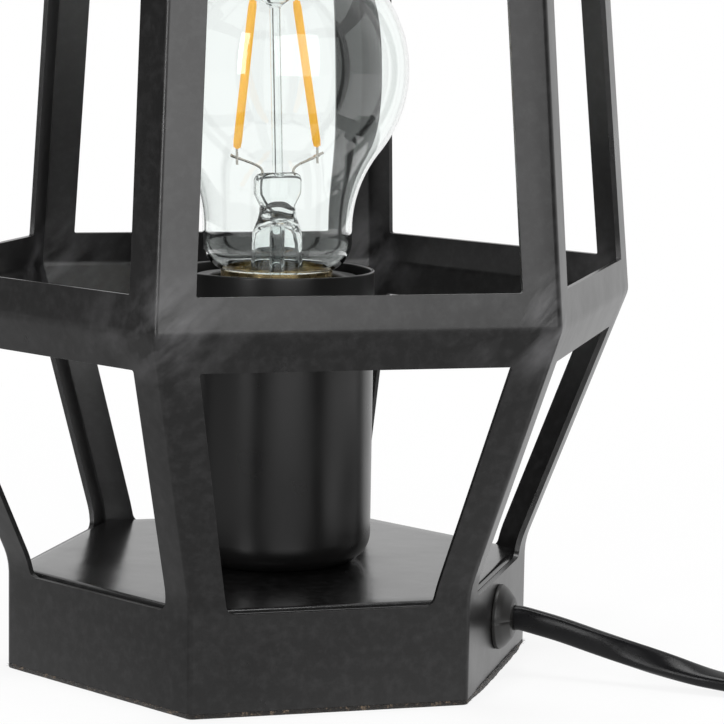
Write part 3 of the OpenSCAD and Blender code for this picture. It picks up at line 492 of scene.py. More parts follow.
def rounded(points, radius, steps=6, closed=True):
    """A line whose corners are arcs of that radius, or of less where a side is short."""
    p = np.asarray(points, float)
    before, after = np.roll(p, 1, axis=0) - p, np.roll(p, -1, axis=0) - p
    short = 0.49 * np.minimum(np.linalg.norm(before, axis=1), np.linalg.norm(after, axis=1))
    a, b = unit(before), unit(after)
    half = np.arccos(np.clip((a * b).sum(1), -1, 1)) / 2
    back = np.minimum(radius / np.maximum(np.tan(half), 1e-9), short)
    if not closed:
        back[[0, -1]] = 0
    centre = p + unit(a + b + 1e-12) * (back / np.maximum(np.cos(half), 1e-9))[:, None]
    start, end = p + a * back[:, None] - centre, p + b * back[:, None] - centre
    w = np.maximum(math.pi - 2 * half, 1e-6)[:, None, None]
    t = np.linspace(0, 1, steps + 1)[None, :, None]
    arcs = centre[:, None] + (np.sin((1 - t) * w) * start[:, None] + np.sin(t * w) * end[:, None]) / np.sin(w)
    if closed:
        return arcs.reshape(-1, 2)
    return np.vstack([p[:1], arcs[1:-1].reshape(-1, 2), p[-1:]])


fold_line = rounded([[skirt_apothem, cage_low], [skirt_apothem, fold_h],
                     [belt_r * math.cos(half_sector), belt_h], [top_r * math.cos(half_sector), cage_h]],
                    np.array([0, fold_bend_r, belt_bend_r, 0]), steps=bend_steps, closed=False)


def apothem_at(height):
    """Distance from the axis to the middle of a side, with the folds' bends."""
    return np.interp(height, fold_line[:, 1], fold_line[:, 0])


def six_sides(apothem, height, corner, offsets, middle):
    """Six sides round the axis, one row for each apothem and height. Near a corner a column keeps its offset
    from the sharp corner, which may change from row to row; within the corner's tangent length it turns into
    the corner's arc, whose point is the arc's centre + radius x (cos, sin) of an angle that falls evenly from
    30 degrees to 0. The middle columns lie at shares of what is left, from -1 to 1."""
    apothem = np.asarray(apothem, float)[:, None]
    half = apothem * math.tan(half_sector)
    tangent = corner * math.tan(half_sector)
    d = np.atleast_2d(np.asarray(offsets, float))
    phi = half_sector * np.clip(1 - d / tangent, 0, 1)
    in_arc = d < tangent
    along = np.where(in_arc, half - tangent + corner * np.sin(phi), half - d)
    out = np.where(in_arc, apothem - corner + corner * np.cos(phi), apothem + 0 * d)
    inner = np.asarray(middle, float)[None, :] * along[:, -1:]
    along = np.hstack([-along, inner, along[:, :0:-1]])
    out = np.hstack([out, apothem + 0 * inner, out[:, :0:-1]])
    sides = []
    for k in range(6):
        a = math.radians(60 * k - 90)
        n, w = (math.cos(a), math.sin(a)), (-math.sin(a), math.cos(a))
        sides.append(np.stack([out * n[0] + along * w[0], out * n[1] + along * w[1],
                               np.asarray(height, float)[:, None] + 0 * out], -1))
    return np.concatenate(sides, axis=1)


def between(low, high, steps):
    """Steps from low to just below high."""
    return np.linspace(low, high, steps + 1)[:-1]


arc_share = between(0, 1, 5)
corner_tangent = corner_r * math.tan(half_sector)
hole_low, hole_high = 4 * mm, 20.6 * mm
belt_bend = fold_line[bend_steps + 2:2 * bend_steps + 3, 1]
heights = np.concatenate([
    [cage_low, hole_low], np.array([8.6, 13.3, 18]) * mm, [hole_high, sill_h, sill_h + sill_corner_r],
    between(26 * mm, 29 * mm, 3), between(29 * mm, head_h - window_r, 8), [head_h - window_r, head_h],
    np.array([80, 82]) * mm, belt_bend, np.array([89.4, 91.6]) * mm,
    [upper_sill_h, upper_sill_h + window_r], between(100 * mm, upper_head_h - window_r, 12),
    [upper_head_h - window_r, upper_head_h, 236 * mm, cage_h]])

# the lower windows' sides run straight past the fold's bend, from the flat skirt below it
flat_skirt_h = 20 * mm
half_side = apothem_at(heights) * math.tan(half_sector)
sill_half, head_half = np.interp([flat_skirt_h, head_h], heights, half_side) - leg_w
in_lower_window = (heights >= sill_h) & (heights <= head_h)
straight = half_side - np.interp(heights, [sill_h, head_h], [sill_half, head_half])
leg = np.where(in_lower_window, straight, leg_w)[:, None]
one = np.ones_like(leg)
mid_leg = 4.6 * mm
offsets = np.hstack([one * arc_share * corner_tangent, one * corner_tangent, one * mid_leg,
                     leg + [0, window_r, sill_corner_r]])
cage_grid = six_sides(apothem_at(heights), heights, corner_r, offsets, [-0.45, 0, 0.45])
rows, columns = cage_grid.shape[:2]
per_side = columns // 6
left_edge = offsets.shape[1] - 3
right_edge = per_side - left_edge
number = np.arange(rows * columns).reshape(rows, columns)
cells = grid(rows, columns, around=True).reshape(rows - 1, columns, 4)
kept = np.ones((rows - 1, columns), bool)
cage_points = [cage_grid.reshape(-1, 3)]
cage_faces = []
count = rows * columns


def row_of(height):
    """The number of the row at that height."""
    return int(np.argmin(np.abs(heights - height)))


def round_corner(corner, first, second):
    """Fills a window's corner with one face: from the corner along the first points, back to the second ones
    on an arc, whose point is corner + (first - corner)(1 - sin) + (second - corner)(1 - cos) for 0 to 90
    degrees. The arc has 6 steps at a sill, whose corners are larger, and 3 elsewhere."""
    global count
    c, f, s = (cage_points[0][k] for k in (corner, first[-1], second[-1]))
    steps = 3 if len(first) == len(second) else 6
    a = np.linspace(0, math.pi / 2, steps + 1)[1:-1, None]
    arc = c + (f - c) * (1 - np.sin(a)) + (s - c) * (1 - np.cos(a))
    cage_faces.append(np.array([[corner, *first, *(count + np.arange(len(arc))), *second[::-1]]]))
    cage_points.append(arc)
    count += len(arc)


for side in range(6):
    left, right = side * per_side + left_edge, side * per_side + right_edge
    for low, high, across in ((sill_h, head_h, 2), (upper_sill_h, upper_head_h, 1)):
        sill, head = row_of(low), row_of(high)
        kept[sill:head, left:right] = False
        round_corner(number[sill, left], number[sill, left + 1:left + 1 + across],
                     number[sill + 1:sill + 2, left])
        round_corner(number[sill, right], number[sill + 1:sill + 2, right],
                     number[sill, right - 1:right - 1 - across:-1])
        round_corner(number[head, left], number[head - 1:head, left], number[head, left + 1:left + 2])
        round_corner(number[head, right], number[head, right - 1:right], number[head - 1:head, right])

# the bushing's hole, in the side that faces front right: a ring inside a frame of the grid's points, with
# fine points to each of the frame's
hole_r = 5.55 * mm
fine = 6
bushing_mid = np.array(from_exit(0, lead_h))
low, high = row_of(hole_low), row_of(hole_high)
left = per_side + offsets.shape[1]
right = left + 2
kept[low:high, left:right] = False
rim = np.concatenate([number[low, left:right], number[low:high, right],
                      number[high, right:left:-1], number[high:low:-1, left]])
share = np.arange(fine)[None, :, None] / fine
rim_points = cage_points[0][rim][:, None]
ring_line = (rim_points * (1 - share) + np.roll(rim_points, -1, axis=0) * share).reshape(-1, 3)
ring_number = np.append(count + np.arange(len(ring_line)), count)
cage_points.append(bushing_mid + hole_r * unit(ring_line - bushing_mid))
for k, after in enumerate(np.roll(rim, -1)):
    own = ring_number[k * fine:(k + 1) * fine + 1]
    cage_faces.append(np.stack([np.full(fine, rim[k]), own[1:], own[:-1]], 1))
    cage_faces.append(np.array([[rim[k], after, own[-1]]]))

cage_points = np.vstack(cage_points)
cage_faces = [cells[kept]] + cage_faces


# a grey for the lighter streaks at the ground welds, which is painted sheen, and for faint random clouds in
# the coat
weld_smear_and_sheen = (0.1, 0.099, 0.102)


def powder_finish(name, shade, gloss, peel):
    """Powder coat: the fine orange peel of melted powder over slower waves, and a gloss that wanders.
    Where the attribute 'ground' is high, a weld was ground smooth under it: smeared, streaky and duller, and
    its streaks are painted lighter in the colour, a painted sheen for light caught by the grinding marks."""
    coat = Finish(name)
    ground = coat.node("ShaderNodeAttribute", output="Fac", attribute_name="ground")
    wander = coat.noise(38, 4, 0.6)
    slanted = coat.node("ShaderNodeMapping", {"Vector": coat.place(), "Rotation": (0, -0.8, 0)})
    smear_and_sheen = coat.spread(coat.noise(110, 3, 0.5, place=slanted, stretch=(1.5, 1, 0.5)), 0.42, 0.68)
    cloud = coat.noise(420, 4, 0.65)
    orange_peel = coat.noise(900, 2, 0.5)
    height = orange_peel * peel + coat.noise(110, 2) * 0.9 + smear_and_sheen * ground * 2.5
    return coat.surface(
        # the streaks at the ground welds are painted lighter: painted sheen over the real grinding marks
        Base_Color=coat.mixed(smear_and_sheen * ground + coat.spread(cloud, 0.45, 0.8, 0, 0.12), shade, weld_smear_and_sheen),
        Roughness=coat.spread(wander, 0.3, 0.7, gloss - 0.03, gloss + 0.04) + ground * smear_and_sheen * 0.1,
        Specular_IOR_Level=0.5, Normal=coat.relief(height, 0.1 * mm, 0.5))


powder = powder_finish("black_powder_coat", (0.0062, 0.006, 0.006), 0.3, 0.14)
cage = made("cage", cage_points, cage_faces, powder, "lamp", "black_powder_coat")
# the mask of the ground welds at the belt's corners, where the coat gets streaks of painted sheen
ground_r = 10 * mm
belt_corners = np.column_stack([oval(belt_r, belt_r, 6), np.full(6, belt_h)])
nearest = np.linalg.norm(cage_points[:, None] - belt_corners[None], axis=2).min(1)
ground = cage.data.attributes.new("ground", "FLOAT", "POINT")
ground.data.foreach_set("value", np.exp(-(nearest / ground_r) ** 2).astype(np.float32))
sheet = cage.modifiers.new("sheet", "SOLIDIFY")
sheet.thickness = sheet_t
sheet.offset = -1
sheet.use_even_offset = True
bevelled(cage, 0.4 * mm, 3, math.radians(50))
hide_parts(*[f"side_panel_{k}" for k in range(1, 7)])


# ---------------------------------------------------------------------------
# The base: a plate of the same sheet behind the skirt, its edge folded down,
# a fibreboard under it, and black felt glued below, whose cut edge frays.
# ---------------------------------------------------------------------------
plate_top = 23.6 * mm
plate_flange = 3.4 * mm
plate_bend_r = 1.9 * mm
inner_apothem = skirt_apothem - sheet_t
slab_corner_r = 1.6 * mm
tube_hole_r = 5.05 * mm
pilot_r = 0.6 * mm


def hexagon_slab(profile, corner, hole, rings=7, across=9):
    """A six-sided slab from a profile of (apothem, height) that runs from its lower face round the edge to
    its upper face. Its faces go in to a round hole: point = rim (1 - s) + circle s for s from 0 to 1."""
    profile = np.asarray(profile, float)
    bend = np.append(arc_share, 1) * corner * math.tan(half_sector)
    edge = six_sides(*profile.T, corner, np.append(bend, 3 * mm), np.linspace(-0.95, 0.95, across))
    circle = unit(edge[-1][:, :2]) * hole
    s = np.linspace(0, 1, rings + 1)[1:, None, None]

    def face(ring):
        return ring * (1 - s) + np.hstack([circle, ring[:, 2:]]) * s
    points = np.concatenate([face(edge[0])[::-1], edge, face(edge[-1])])
    return points.reshape(-1, 3), [grid(*points.shape[:2], around=True, closed=True)]


def slab_line(points, radius, steps):
    """A slab's profile with its corners rounded, open on the side of the hole."""
    return rounded(points, radius, steps=steps, closed=False)


plate_line = np.vstack([
    [[inner_apothem - sheet_t, plate_top - sheet_t], [inner_apothem - sheet_t, plate_top - plate_flange],
     [inner_apothem, plate_top - plate_flange]],
    slab_line([[inner_apothem, plate_top - 3 * mm], [inner_apothem, plate_top],
               [inner_apothem - 5 * mm, plate_top]], plate_bend_r, 8)])
plate_finish = powder_finish("base_plate_powder", (0.004, 0.0039, 0.0039), 0.17, 0.06)
plate = made("plate", *hexagon_slab(plate_line, slab_corner_r, tube_hole_r), plate_finish, "lamp",
             "black_powder_coat")
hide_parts("base_plate")

fibreboard = Finish("fibreboard")
fibres = fibreboard.noise(900, 4, 0.7)
fibreboard = fibreboard.surface(
    Base_Color=fibreboard.mixed(fibres, (0.13, 0.075, 0.04), (0.3, 0.2, 0.115)),
    Roughness=0.85, Normal=fibreboard.relief(fibres, 0.1 * mm, 0.6))
board_low, board_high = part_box("bottom_board")
board_r = board_high.y
board_line = slab_line([[board_r - 3 * mm, board_low.z], [board_r, board_low.z], [board_r, board_high.z],
                        [board_r - 3 * mm, board_high.z]], 0.25 * mm, 3)
board = made("board", *hexagon_slab(board_line, 1 * mm, pilot_r), fibreboard, "lamp", "fibreboard")
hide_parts("bottom_board")

felt = Finish("black_felt")
nap = felt.noise(2600, 3, 0.7)
dust = felt.noise(700, 2, 0.5)
felt = felt.surface(
    Base_Color=felt.mixed(felt.spread(nap * dust, 0.28, 0.42), (0.012, 0.0105, 0.0095), (0.16, 0.115, 0.075)),
    Roughness=0.95, Sheen_Weight=0.25, Sheen_Roughness=0.5, Normal=felt.relief(nap, 0.35 * mm, 0.9))
felt_t = 1.2 * mm
felt_top = felt_t - 0.02 * mm
felt_edge = skirt_apothem - 0.1 * mm
felt_line = slab_line([[felt_edge - 3 * mm, 0.1 * mm], [felt_edge, 0], [felt_edge + 0.1 * mm, felt_t * 0.5],
                       [felt_edge, felt_top], [felt_edge - 3 * mm, felt_top]], 0.3 * mm, 4)
felt_points, felt_faces = hexagon_slab(felt_line, slab_corner_r, pilot_r, rings=12, across=140)

# the cut edge is ragged: sines of the bearing that shift with the height, faded out towards the middle. It
# is more so on the bushing's side, from -59 to -1 degrees, where the felt juts out
jut_out, jut_ragged = 0.7 * mm, 2.6
still_r, fade_in = 45 * mm, 8 * mm
draw = np.random.default_rng(11)
bearing = np.arctan2(felt_points[:, 1], felt_points[:, 0])
near_edge = np.clip((np.hypot(felt_points[:, 0], felt_points[:, 1]) - still_r) / fade_in, 0, 1)
ragged = 0.11 * mm * sum(
    draw.uniform(0.5, 1) / waves ** 0.5 * np.sin(
        waves * bearing + draw.uniform(0, 6.28) + felt_points[:, 2] * draw.uniform(-2500, 2500))
    for waves in (23, 41, 67, 109, 151, 233, 317))
jut = easing((bearing + math.radians(59)) / 0.25) * easing((math.radians(-1) - bearing) / 0.15)
outward = (np.minimum(ragged, 0.1 * mm) + jut * (jut_out + jut_ragged * ragged)) * near_edge
felt_points[:, :2] += unit(felt_points[:, :2]) * outward[:, None]
felt_piece = made("felt", felt_points, felt_faces, felt, "lamp", "black_felt")
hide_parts("felt_pad")


def hairs(starts, heads, lengths, radius, sway, rows=5, sides=3):
    """Short tapered hairs: each follows start + heading x length x s + sway x s squared for s from 0 to 1,
    and thins towards its tip."""
    s = np.linspace(0, 1, rows)[None, :, None]
    line = starts[:, None] + heads[:, None] * s * lengths[:, None, None] + sway[:, None] * s ** 2
    c, n = oval(1, 1, sides).T[:, None, None, :, None]
    level_side = unit(np.cross(heads, [0, 0, 1]) + 1e-9)
    around = c * level_side[:, None, None] + n * np.cross(level_side, heads)[:, None, None]
    rings = line[:, :, None] + around * (radius * (1 - 0.75 * s))[..., None]
    first = rows * sides * np.arange(len(starts))[:, None, None]
    last = rows * sides - 1
    ends = np.array([[0, 1, 2], [last, last - 1, last - 2]])
    return rings.reshape(-1, 3), [(grid(rows, sides, around=True) + first).reshape(-1, 4),
                                  (ends + first).reshape(-1, 3)]


hair_count = 520
hair_r = 0.035 * mm
felt_rim = six_sides([felt_edge], [0.6 * mm], slab_corner_r, np.array([0, 0.9, 3, 6]) * mm,
                     np.linspace(-0.8, 0.8, 9))[0]
pick = draw.uniform(0, len(felt_rim), hair_count)
low = pick.astype(int)
part = (pick - low)[:, None]
root = felt_rim[low] * (1 - part) + felt_rim[(low + 1) % len(felt_rim)] * part
root[:, 2] = draw.uniform(0.25, 1.05, hair_count) * mm
out = unit(root * [1, 1, 0])
beside = np.cross([0, 0, 1], out)
twist = draw.normal(0, 0.8, (hair_count, 1))
rise = draw.uniform(-0.25, 0.2, (hair_count, 1))
head = unit(out + beside * twist + rise * [0, 0, 1])
sway = draw.normal(0, 0.12 * mm, (hair_count, 3)) * [1, 1, 0.3]
hair_lengths = draw.uniform(0.5, 1.25, hair_count) * mm
hair_points, hair_faces = hairs(root - head * 0.3 * mm, head, hair_lengths, hair_r, sway)
hair_points[:, 2] = np.maximum(hair_points[:, 2], 0.02 * mm)
lint = Finish("felt_lint")
lint_shade = lint.node("ShaderNodeValToRGB", {"Fac": lint.noise(260, 2, 0.6)}, stops=[
    (0.42, (0.011, 0.0095, 0.0085)), (0.55, (0.05, 0.034, 0.022)), (0.68, (0.3, 0.21, 0.13))])
lint = lint.surface(Base_Color=lint_shade, Roughness=0.9)
made("felt_hairs", hair_points, hair_faces, lint, "lamp", "black_felt", smooth=False)


# ---------------------------------------------------------------------------
# The bushing: a black plastic strain relief in two halves, pressed round the
# lead and snapped into the skirt's hole. Inside, the lead's sheath ends and
# its two cores go on to the lampholder.
# ---------------------------------------------------------------------------
bushing_r, tip_r = 7.5 * mm, 3.75 * mm
barrel_r, barrel_depth = 4.9 * mm, 9 * mm
seam_depth, seam_narrowness = 0.16 * mm, 22
dome_line = np.vstack([
    [[bushing_r - 1.9 * mm, -sheet_t - 1.5 * mm], [bushing_r - 2 * mm, 0]],
    rounded([[bushing_r - 2 * mm, 0.01 * mm], [bushing_r, 0.01 * mm], [bushing_r, 0.9 * mm],
             [6.7 * mm, 2.1 * mm], [tip_r + 0.9 * mm, 3.75 * mm], [tip_r, bushing_proud],
             [2.2 * mm, bushing_proud]],
            np.array([0, 0.25, 0.5, 3, 1.2, 0.4, 0]) * mm, steps=6, closed=False)])
bushing_turn = np.array([[*side_dir, 0], [-side_dir[1], side_dir[0], 0], [0, 0, 1]])


def bushing_surface(line, steps=120):
    """A dome round the lead, from a line of radius and distance out of the skirt. Its opening follows the
    lead's flat outline, and its seam is a fine groove at both ends of the level line."""
    round_line = oval(1, 1, steps)
    slot = oval(lead_t / 2 + 0.1 * mm, lead_w / 2 + 0.1 * mm, steps, lead_power)
    seam = seam_depth * np.exp(-(round_line[:, 1] * seam_narrowness) ** 2)
    dome = (line[:, :1] - seam)[..., None] * round_line
    dome[-1] = slot
    depth = line[:, 1:] - seam * 0.6
    outlines = np.concatenate([[slot, barrel_r * round_line], dome])
    depths = np.vstack([np.full((2, steps), -barrel_depth), depth])
    points = np.dstack([depths, outlines]) @ bushing_turn + bushing_mid
    return points.reshape(-1, 3), [grid(*points.shape[:2], around=True, closed=True)]


bushing_finish = moulded_finish("bushing_plastic", (0.013, 0.0125, 0.012), 0.42, 0.03 * mm)
bushing = made("bushing", *bushing_surface(dome_line), bushing_finish, "lamp", "black_plastic")
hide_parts("lead_bushing")

sheath_end = np.array([15, -8.7, 9.2]) * mm
inner_route = [from_exit(bushing_proud, lead_h), from_exit(-4 * mm, lead_h), from_exit(-12 * mm, lead_h),
               from_exit(-19 * mm, 12.8 * mm), from_exit(-27 * mm, 11 * mm),
               [20 * mm, -11.5 * mm, 9.6 * mm], sheath_end]
inner_path, _ = smooth_route(inner_route, route_step)
inner_roll = np.full(len(inner_path), 90)
inner_lead = made("inner_lead_sheath", *swept(inner_path, inner_roll, lead_outline),
                  lead_finish, "lamp", "lead_pvc")
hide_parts("inner_lead")

core_r = 1.1 * mm
core_outline = oval(core_r, core_r, 16)
cup_t = 0.8 * mm
above_cup_floor = (plate_top + cup_t) / mm + 7
for name, side, shade in (("core_brown", 1, (0.13, 0.045, 0.018)), ("core_blue", -1, (0.015, 0.07, 0.32))):
    y = side * (core_r / mm + 0.25)
    split = sheath_end / mm + [-0.2 - 0.1 * side, 0.1 - 0.1 * side, side * 1.35]
    core_route = [split, [10, -5.8, 8.6 + side * 1.35], [5, -2.9 + y * 0.4, 8.2 + side * 1.3],
                  [1.5, -0.8 + y * 0.8, 10 + side * 0.9], [0.2, y, 14], [0, y, 20], [0, y, 26],
                  [0, y, above_cup_floor], [side * 2.2, y, 34.5], [side * 5.6, y * 0.4, 35.6],
                  [side * 8, 0, 37.4], [side * 8, 0, 42]]
    core_path, _ = smooth_route(np.array(core_route) * mm, 0.8 * mm)
    core = made(name + "_sheath", *swept(core_path, np.zeros(len(core_path)), core_outline),
                pvc_finish(name + "_pvc", shade, 0.38), "lamp", name + "_pvc")
    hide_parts(name)


# ---------------------------------------------------------------------------
# The cup and the lampholder in it: a drawn cup with a satin black lacquer,
# and an E27 lampholder of black plastic with a pale insert and a brass shell,
# all clamped to the plate by a hollow threaded tube with a nut and washer.
# ---------------------------------------------------------------------------
def turned(name, profile, finish, slot, body="lamp", steps=128, thread=None):
    """A surface of revolution: a closed line of (radius, height), counter-clockwise, carried round the axis.
    thread is a function of height and angle that is added to the radius."""
    profile = np.asarray(profile, float)
    a = np.linspace(0, 2 * math.pi, steps, endpoint=False)[None, :]
    r, z = profile[:, :1] + 0 * a, profile[:, 1:] + 0 * a
    if thread:
        r = r + thread(z, a)
    points = np.stack([r * np.cos(a), r * np.sin(a), z], -1).reshape(-1, 3)
    faces = [grid(len(profile), steps, around=True, closed=True)]
    return made(name, *welded(points, faces), finish, body, slot)


cup_r, cup_top = 22.8 * mm, 92 * mm
cup_edge_r = 6.5 * mm
holder_r = 19.4 * mm
holder_top = cup_top - 1.6 * mm
cup_line = rounded([[tube_hole_r, plate_top], [cup_r, plate_top], [cup_r, cup_top], [cup_r - cup_t, cup_top],
                    [cup_r - cup_t, plate_top + cup_t], [tube_hole_r, plate_top + cup_t]],
                   np.array([0, cup_edge_r, 0.35 * mm, 0.35 * mm, cup_edge_r - cup_t, 0]), steps=12)
lacquer = Finish("black_lacquer")
drawn = lacquer.noise(1, 2, stretch=(60, 60, 14))
lacquer = lacquer.surface(
    Base_Color=lacquer.mixed(drawn, (0.004, 0.004, 0.0043), (0.0068, 0.0065, 0.0062)),
    Roughness=lacquer.spread(lacquer.noise(60, 3), 0.3, 0.7, 0.26, 0.33),
    Normal=lacquer.relief(lacquer.noise(1100, 1) * 0.1 + drawn * 0.5, 0.1 * mm, 0.4))
cup = turned("cup", cup_line, lacquer, "black_lacquer")
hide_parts("holder_cup")

holder_plastic = moulded_finish("holder_plastic", (0.012, 0.012, 0.012), 0.45)
cream = moulded_finish("cream_plastic", (0.72, 0.68, 0.58), 0.5)
sleeve_low, sleeve_step = 44 * mm, 45.3 * mm
sleeve_inner_r, sleeve_low_r = 17.4 * mm, 18.5 * mm
lip_r = 13.7 * mm + 1.7 * mm
lip_low = holder_top - 2 * mm
sleeve_line = rounded([
    [sleeve_low_r, sleeve_low], [holder_r, sleeve_low], [holder_r, holder_top], [lip_r, holder_top],
    [lip_r, lip_low], [sleeve_inner_r, lip_low], [sleeve_inner_r, sleeve_step], [sleeve_low_r, sleeve_step]],
    np.array([0.1, 0.1, 0.8, 0.6, 0.3, 0.3, 0.1, 0.1]) * mm)
holder_sleeve = turned("holder_sleeve_shape", sleeve_line, holder_plastic, "holder_plastic")
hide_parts("holder_sleeve")
turned_crease = math.radians(35)
for node, width, finish, slot in (
        ("holder_foot", 0.3, holder_plastic, "holder_plastic"),
        ("holder_insert", 0.2, cream, "cream_plastic"),
        ("centre_contact", 0.06, brass, "brass"), ("terminal_blocks", 0.2, brass, "brass"),
        ("terminal_screws", 0.12, zinc_steel, "zinc_steel"), ("threaded_tube", 0.2, zinc_steel, "zinc_steel"),
        ("tube_nut", 0.3, zinc_steel, "zinc_steel"), ("tube_washer", 0.15, zinc_steel, "zinc_steel")):
    softened(node, width * mm, finish, angle=turned_crease)

thread_pitch = 3.62 * mm
thread_fade = 0.35 * thread_pitch


def thread_wave(low, high, depth):
    """The rolled thread of a screw cap: depth times a rounded wave of height / pitch - angle / turn, which
    never lies above 0, and fades in and out near its ends."""
    def wave(z, a):
        fade = np.clip((z - low) / thread_fade, 0, 1) * np.clip((high - z) / thread_fade, 0, 1)
        turn = 2 * math.pi * z / thread_pitch - a
        return depth * fade * (0.5 * np.cos(turn) + 0.08 * np.cos(2 * turn) - 0.58)
    return wave


def tube_wall(outer, wall, rise):
    """A tube's profile: up its outer side and down its inner one."""
    return np.vstack([np.column_stack([np.full(len(rise), outer), rise]),
                      np.column_stack([np.full(len(rise), outer - wall), rise[::-1]])])


shell_top, shell_low = holder_top - 4 * mm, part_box("screw_shell")[0].z
shell_r, shell_t = 13.68 * mm, 0.3 * mm
shell_hole_r = 9 * mm
shell_floor = shell_low + 0.35 * mm
shell_line = np.vstack([[[shell_hole_r, shell_low], [13.3 * mm, shell_low]],
                        tube_wall(shell_r, shell_t, np.linspace(shell_low + 1 * mm, shell_top, 60)),
                        [[13 * mm, shell_floor], [shell_hole_r, shell_floor]]])
screw_shell = turned("screw_shell_shape", shell_line, brass, "brass", steps=96,
                     thread=thread_wave(shell_low + 2 * mm, shell_top - 1.5 * mm, 0.09 * mm))
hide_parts("screw_shell")


# ---------------------------------------------------------------------------
# The bulb: a clear blown envelope of 60 mm on a pressed glass stem, whose rod
# holds two amber LED filaments between wires, in a brass-coloured screw cap.
# It rides on its own body and lifts out of the lampholder.
# ---------------------------------------------------------------------------
bulb_r, bulb_h = 30 * mm, 138 * mm
neck_r, glass_t = 17.4 * mm, 0.7 * mm
cap_r, cap_top = 13 * mm, 91.8 * mm
shoulder_r = 7 * mm
glass_end_r = cap_r - 0.4 * mm
shoulder_h = cap_top + 0.15 * mm + math.sqrt(shoulder_r ** 2 - (cap_r - neck_r + shoulder_r) ** 2)
flank_h = shoulder_h + 3 * mm
flank_r = (neck_r ** 2 + (bulb_h - flank_h) ** 2 - bulb_r ** 2) / (2 * (bulb_r - neck_r))
flank_end = math.atan2(bulb_h - flank_h, -(neck_r + flank_r))


def arc(centre, radius, start, end, steps):
    """Points on an arc from the start's angle to the end's."""
    a = np.linspace(start, end, steps + 1)
    return np.stack([centre[0] + radius * np.cos(a), centre[1] + radius * np.sin(a)], 1)


def envelope(t):
    """The glass from cap to crown, moved in by t: a straight end in the cap, a shoulder arc, a hollow flank
    that touches the neck and the globe, and the globe."""
    seat = -math.acos((cap_r - neck_r + shoulder_r) / shoulder_r)
    return np.vstack([
        [[glass_end_r - t, cap_top - 3.8 * mm], [glass_end_r - t, cap_top + 0.05 * mm]],
        arc([neck_r - shoulder_r, shoulder_h], shoulder_r - t, seat, 0, 12),
        arc([neck_r + flank_r, flank_h], flank_r + t, math.pi, flank_end, 22),
        arc([0, bulb_h], bulb_r - t, flank_end - math.pi, math.pi / 2, 52)[1:]])


def clear_glass(name, tint, waves):
    """Clear glass: a faint tint, and the slow waves of blown or pressed glass."""
    glass = Finish(name)
    return glass.surface(
        Base_Color=(*tint, 1), Roughness=0.0, IOR=1.5, Transmission_Weight=1.0,
        Normal=glass.relief(glass.noise(45, 1), waves, 0.3))


envelope_glass = clear_glass("clear_glass", (0.97, 0.995, 0.985), 0.05 * mm)
bulb_line = np.vstack([envelope(0), envelope(glass_t)[::-1]])
bulb = turned("bulb_envelope", bulb_line, envelope_glass, "clear_glass", body="bulb", steps=160)
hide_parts("bulb_glass")

filament_low, filament_high = 120 * mm, 154 * mm
press_h = filament_low - 5.4 * mm
stem_low = cap_top - 3.6 * mm
filament_turn = math.radians(16)
plane = np.array([[math.cos(filament_turn), -math.sin(filament_turn), 0],
                  [math.sin(filament_turn), math.cos(filament_turn), 0], [0, 0, 1]])


def lofted(sections, steps=48):
    """A closed skin over ovals, each given as height, half width, half thickness and power."""
    h, half_w, half_t, power = np.asarray(sections, float).T[..., None]
    points = np.dstack([oval(half_w, half_t, steps, power), h + np.zeros(steps)]) @ plane.T
    return welded(points.reshape(-1, 3), [grid(len(h), steps, around=True, closed=True)])


# the stem's glass from the flare's lower edge up its outside to the press, and down its inside
flare = np.array([
    (87.2, 11.2, 11.2, 1), (87.9, 9.0, 9.0, 1), (88.9, 7.2, 7.2, 1), (90.6, 6.2, 6.2, 1), (95, 5.9, 5.9, 1),
    (98, 5.9, 5.9, 1), (100.3, 5.85, 5.6, 1), (102, 5.4, 4.4, 0.97), (103.6, 4.8, 3.2, 0.9),
    (105.2, 4.45, 2.4, 0.8), (106.8, 4.5, 1.95, 0.7), (108.2, 5.2, 1.8, 0.62), (109.6, 6.05, 1.8, 0.6),
    (111.2, 6.1, 1.8, 0.6), (112.8, 6.05, 1.8, 0.6), (113.7, 5.8, 1.7, 0.62), (114.3, 5.2, 1.35, 0.7),
    (114.6, 4.2, 0.8, 0.8), (114.6, 0, 0, 1), (103.2, 0, 0, 1), (102.6, 2.4, 1.6, 1), (101.6, 4.2, 3.2, 1),
    (100.2, 4.9, 4.6, 1), (98, 5.2, 5.2, 1), (95, 5.25, 5.25, 1), (90.6, 5.55, 5.55, 1),
    (88.9, 6.5, 6.5, 1), (87.9, 8.3, 8.3, 1), (87.2, 10.6, 10.6, 1)]) * [mm, mm, mm, 1]
rod_r, button_r = 1.25 * mm, 3.4 * mm
rod_low, rod_top = press_h - 1 * mm, filament_high
exhaust_r, exhaust_bore_r, exhaust_top = 1.75 * mm, 1.15 * mm, 103 * mm
rod_line = rounded([[0, rod_low], [rod_r, rod_low], [rod_r, rod_top - 1.6 * mm], [button_r, rod_top],
                    [button_r, rod_top + 1 * mm], [0, rod_top + 1 * mm]],
                   np.array([0, 0.1, 1.2, 0.6, 0.5, 0]) * mm, steps=6)
tube_line = rounded([[exhaust_bore_r, stem_low], [exhaust_r, stem_low], [exhaust_r, exhaust_top],
                     [exhaust_bore_r, exhaust_top]], 0.1 * mm, steps=3)
stem_glass = clear_glass("stem_glass", (0.96, 0.985, 0.98), 0.25 * mm)
stem = made("bulb_stem_flare", *lofted(flare), stem_glass, "bulb", "stem_glass")
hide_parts("bulb_stem")
rod = turned("bulb_stem_rod", rod_line, stem_glass, "stem_glass", body="bulb", steps=40)
turned("bulb_stem_tube", tube_line, stem_glass, "stem_glass", body="bulb", steps=40)


